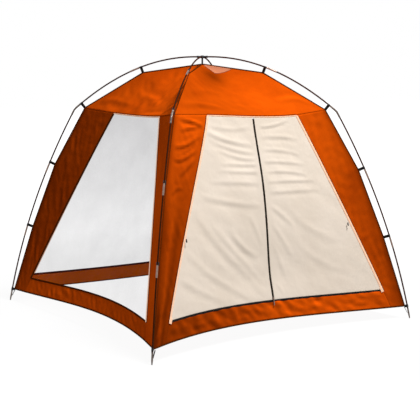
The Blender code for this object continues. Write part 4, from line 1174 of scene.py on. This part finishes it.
def bend_at_fold(piece, hand):
    """Looks up the flap's fold joint and bakes the piece's placement into its mesh; the piece does not
    bend or swing here.
    """
    joint = next(j for j in frame["joints"] if j["name"] == f"door_{hand}_fold")
    place, axis = np.array(joint["pos_m"], float), unit(np.array(joint["axis"], float))
    toward_zip = np.array([1.0 if hand == "left" else -1.0, 0.0, 0.0])
    toward_zip = unit(toward_zip - axis * toward_zip.dot(axis))
    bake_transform(piece)


def make_zip():
    """Coil chain on its tape along the left half's edge, and a tape on the right half's edge."""
    shares = np.linspace(ZIP_TOP_SHARE, DOOR_LOW - ZIP_END_GAP, ZIP_POINTS)
    line = door_point(np.zeros(len(shares)), shares)
    along = directions(line)
    right = unit(np.cross(along, np.cross(RIGHT, along)))
    out = unit(np.cross(along, right))
    out *= np.sign(-out[:, 1:2])
    right = unit(np.cross(out, along))
    right *= np.sign(right[:, :1])

    def zip_band(name):
        shift, lift, width, thickness = ZIP_BANDS[name]
        return tape(name, line + right * shift + out * lift, right, width, thickness, ZIP)

    bands = [zip_band("zip_tape_left"), zip_band("zip_coil")]
    t = np.linspace(0.0, 1.0, COIL_TURNS * COIL_TURN_POINTS)
    spots = np.linspace(0.0, 1.0, len(line))
    centre, mid_right, mid_out = (
        np.stack([np.interp(t, spots, rows[:, k]) for k in range(3)], -1)
        for rows in (line, right, out))
    angle = t[:, None] * COIL_TURNS * TURN
    helix = (centre + mid_out * (COIL_CENTRE_LIFT + COIL_HALF_HEIGHT * np.sin(angle))
             + mid_right * COIL_HALF_WIDTH * np.cos(angle))
    wire = tube("zip_coil_wire", helix, COIL_WIRE_RADIUS, ZIP, COIL_WIRE_SIDES)
    chain = join("zip_chain_left", [*bands, wire])
    bend_at_fold(chain, "left")
    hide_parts("zip_chain")
    bend_at_fold(zip_band("zip_tape_right"), "right")


# Poles
def bowed_in(stations, leg):
    """How far the lower arch lies nearer to the cloth than the upper one."""
    share = np.clip(np.asarray(stations) / ELBOW_START, 0.0, 1.0)
    return ARCH_BOW_IN * np.sin(math.pi * share) * (leg in LOW_ARCH)


def path_between(start, end, leg, spacing=POLE_SPACING):
    """A stretch of a leg's pole, and its stations."""
    stations = np.linspace(start, end, max(2, int(round((end - start) / spacing)) + 1))
    spots = [axis_at(s) for s in stations]
    points = np.array([spot[0] - spot[2] * bowed_in(s, leg) for s, spot in zip(stations, spots)])
    return in_leg(points[:, 0], points[:, 1], LEGS[leg]), stations


def make_ferrule(name, centre, leg):
    """A ferrule with a rolled lip at each end and two crimps."""
    half = FERRULE_LENGTH / 2.0
    path, stations = path_between(centre - half, centre + half, leg, FERRULE_SPACING)
    radii = FERRULE_RADIUS - CRIMP_DEPTH * bell(np.abs((stations - centre) / half), *FERRULE_CRIMP)
    radii[0] = radii[-1] = FERRULE_RADIUS - FERRULE_LIP
    dress(tube(name, path, radii, STEEL))


def make_poles():
    """The rods with their ferrules, the elbows and the metal tips."""
    sections = {
        "arch_pole_inner": (INNER_SECTION_START, FERRULES[0] - POLE_GAP),
        "arch_pole_outer": (FERRULES[0] + POLE_GAP, BEND_START),
        "leg_pole_upper": (BEND_END, FERRULES[1] - POLE_GAP),
        "leg_pole_middle": (FERRULES[1] + POLE_GAP, FERRULES[2] - POLE_GAP),
        "leg_pole_lower": (FERRULES[2] + POLE_GAP, POLE_END - TIP_LENGTH + TIP_OVERLAP),
    }
    ferrules = dict(zip(("arch_pole_inner", "leg_pole_upper", "leg_pole_middle"), FERRULES))
    for leg in LEGS:
        for section, ends in sections.items():
            name = f"{section}_{leg}"
            dress(tube(f"rod_{name}", path_between(*ends, leg)[0], POLE_RADIUS, ROD), name)
            if section in ferrules:
                make_ferrule(f"ferrule_{name}", ferrules[section], leg)
        path, stations = path_between(ELBOW_START, ELBOW_END, leg, BENT_SPACING)
        radii = np.full(len(stations), ELBOW_RADIUS)
        for end in (ELBOW_START, ELBOW_END):
            radii -= CRIMP_DEPTH * bell(np.abs(stations - end), *ELBOW_CRIMP)
        radii[0] = radii[-1] = ELBOW_RADIUS - ELBOW_LIP
        dress(tube(f"bend_{leg}", path, radii, DULL_STEEL), f"elbow_{leg}")
        path, stations = path_between(POLE_END - TIP_LENGTH, POLE_END, leg, BENT_SPACING)
        local = (stations - stations[0]) / TIP_LENGTH
        taper = np.clip((local - TIP_TAPER_START) / (1.0 - TIP_TAPER_START), 0.0, 1.0)
        radii = blend(TIP_RADIUS, TIP_END_RADIUS, taper) - CRIMP_DEPTH * bell(local, *TIP_CRIMP)
        dress(tube(f"tip_{leg}", path, radii, DULL_STEEL))


def on_axis(heights):
    return np.array([[0.0, 0.0, height] for height in heights])


def make_hub():
    """The crossing with its four sockets, and the post that holds the canopy's peak."""
    heights, radii = np.array(HUB_BODY).T
    parts = [tube("hub_body", on_axis(HUB_HEIGHT + heights), radii, PLASTIC, HUB_SIDES, RIGHT)]
    for leg in LEGS:
        path, stations = path_between(*HUB_SOCKET, leg, FERRULE_SPACING)
        radii = np.full(len(stations), HUB_SOCKET_RADIUS)
        radii[-3:] += HUB_SOCKET_LIP
        parts.append(tube(f"hub_socket_{leg}", path, radii, PLASTIC))
    post = on_axis(np.linspace(HUB_HEIGHT - HUB_POST_TOP_DROP, APEX_Z + HUB_POST_FOOT,
                               HUB_POST_POINTS))
    parts.append(tape("hub_post", post, RIGHT, HUB_POST_WIDTH, HUB_POST_DEPTH, PLASTIC))
    heights, radii = np.array(HUB_FOOT).T
    parts.append(tube("hub_foot", on_axis(APEX_Z + heights), radii, PLASTIC, HUB_SIDES, RIGHT))
    dress(join("hub_crossing", parts), "hub")


def make_clips():
    """A hook on the pole, and a short web that holds the ridge."""
    angles = np.linspace(CLIP_MOUTH / 2.0, TURN - CLIP_MOUTH / 2.0, CLIP_HOOK_POINTS)[:, None]
    for leg, degrees in LEGS.items():
        for number, station in enumerate(CLIPS, 1):
            centre, along, normal = axis_at(station)
            inwards = float(bowed_in(station, leg))
            point = in_leg(*(centre - normal * inwards), degrees)
            run, outward = in_leg(*along, degrees), in_leg(*normal, degrees)
            level = np.cross(run, outward)
            ring = point + (np.cos(angles) * outward + np.sin(angles) * level) * CLIP_HOOK_RADIUS
            hook = tape(f"hook_{number}_{leg}", ring, run, CLIP_HOOK_LENGTH, CLIP_HOOK_WALL, PLASTIC)
            web_end = CLIP_REACH - CLIP_WEB_CLEARANCE - inwards
            reach = np.linspace(CLIP_HOOK_RADIUS, web_end, CLIP_WEB_POINTS)
            web = tape(f"web_{number}_{leg}", point - outward * reach[:, None], run, CLIP_WEB_WIDTH,
                       CLIP_WEB_THICKNESS, BLACK_TAPE)
            dress(join(f"clip_look_{number}_{leg}", [hook, web]), f"clip_{number}_{leg}")


def make_foot_webbing():
    """Webbing that ties the hem's corners to the pole tips."""
    low = np.interp(-FOOT_WEB_LOW, -AXIS[:, 1], AXIS[:, 0])
    top = np.array([CORNER_W * ROOT2, CORNER_Z - FOOT_WEB_TOP_DROP])
    end = np.array([low - TIP_RADIUS - FOOT_WEB_GAP, FOOT_WEB_LOW])
    share = np.linspace(0.0, 1.0, FOOT_WEB_POINTS)[:, None]
    line, apart = blend(top, end, share), blend(*FOOT_WEB_SPREADS, share)
    for leg, degrees in LEGS.items():
        level = np.cross(in_leg(1.0, 0.0, degrees), UP)
        for hand, sign in HANDS:
            points = in_leg(line[:, 0], line[:, 1], degrees) + level * sign * apart
            dress(tape(f"foot_web_{leg}_{hand}", points, level, FOOT_WEB_WIDTH, FOOT_WEB_THICKNESS,
                       BLACK_TAPE))


def finish_cad(node, material, bevel):
    """Gives a CAD node that is shown its material, and softens its edges."""
    part = frame["nodes"][node]
    part.data.materials.clear()
    part.data.materials.append(material)
    edge = part.modifiers.new("edge", "BEVEL")
    edge.width = bevel
    edge.segments = 2
    edge.limit_method = "ANGLE"
    edge.angle_limit = BEVEL_ANGLE
    part.data.shade_smooth()


# Studio
def look_at(item, place, target):
    item.location = place
    item.rotation_euler = (Vector(target) - Vector(place)).to_track_quat("-Z", "Y").to_euler()
    bpy.context.scene.collection.objects.link(item)


def show_white(tree):
    """1 for the camera's rays and for gloss and glass, which are to see plain white."""
    path = add_node(tree, "LightPath").outputs
    seen = math_node(tree, "MAXIMUM", path["Is Camera Ray"], path["Is Glossy Ray"])
    return math_node(tree, "MAXIMUM", seen, path["Is Transmission Ray"])


def make_stage():
    """Camera, white surroundings and the key light."""
    scene = bpy.context.scene
    scene.view_settings.view_transform = "Standard"
    camera = bpy.data.objects.new("camera", bpy.data.cameras.new("camera"))
    look_at(camera, CAMERA_PLACE, CAMERA_TARGET)
    camera.data.sensor_fit = "HORIZONTAL"
    camera.data.sensor_width = SENSOR_WIDTH_MM
    camera.data.lens = CAMERA_FOCAL_PIXELS / IMAGE_PIXELS * SENSOR_WIDTH_MM
    scene.camera = camera
    scene.world = bpy.data.worlds.new("studio")
    scene.world.use_nodes = True
    tree = scene.world.node_tree
    tree.nodes.clear()
    soft, white = (add_node(tree, "Background", Color=WHITE, Strength=strength).outputs[0]
                   for strength in (SKY_STRENGTH, 1.0))
    add_node(tree, "OutputWorld", Surface=mixed(tree, show_white(tree), soft, white))
    light = bpy.data.lights.new("key", "AREA")
    light.shape = "DISK"
    light.size = KEY_SIZE
    light.energy = KEY_WATTS
    look_at(bpy.data.objects.new("key", light), KEY_PLACE, KEY_TARGET)


def make_floor():
    """A floor that catches the shadow near the tent and looks white farther out."""
    data = bpy.data.meshes.new("floor")
    ways = ((-1, -1), (1, -1), (1, 1), (-1, 1))
    corners = [(x * FLOOR_HALF_SIZE, y * FLOOR_HALF_SIZE, 0.0) for x, y in ways]
    data.from_pydata(corners, [], [(0, 1, 2, 3)])
    floor = bpy.data.objects.new("floor", data)
    floor.location.z = -FLOOR_GAP
    bpy.context.scene.collection.objects.link(floor)
    material, tree, shader = principled("floor", FLOOR_ROUGHNESS, Base_Color=(*FLOOR_TONE, 1.0))
    glowing = add_node(tree, "Emission", Color=WHITE, Strength=FLOOR_GLOW).outputs[0]
    away = add_node(tree, "VectorMath")
    away.operation = "LENGTH"
    feed(tree, away.inputs[0], add_node(tree, "TexCoord").outputs["Object"])
    fade = map_range(tree, away.outputs["Value"], *FLOOR_FADE, FLOOR_GLOW_SHARE, 1.0)
    share = math_node(tree, "MULTIPLY", show_white(tree), fade)
    surface = tree.nodes["Material Output"].inputs["Surface"]
    feed(tree, surface, mixed(tree, share, shader.outputs[0], glowing))
    data.materials.append(material)


make_stage()
make_floor()
for number, (side_name, side_sizes) in enumerate(SIDES.items()):
    make_side(side_name, side_sizes, FIRST_SEED + SIDE_SEEDS * number)
    make_trim(side_name, side_sizes)
make_peak_highlight(FIRST_SEED)
make_ridges()
for hand, sign in HANDS:
    make_door_half(hand, sign)
make_zip()
make_poles()
make_hub()
make_clips()
make_foot_webbing()
finish_cad("zip_slider", STEEL, SLIDER_BEVEL)
for hand, _ in HANDS:
    finish_cad(f"toggle_{hand}", PLASTIC, TOGGLE_BEVEL)
for leg in LEGS:
    finish_cad(f"corner_strap_{leg}", BLACK_TAPE, STRAP_BEVEL)
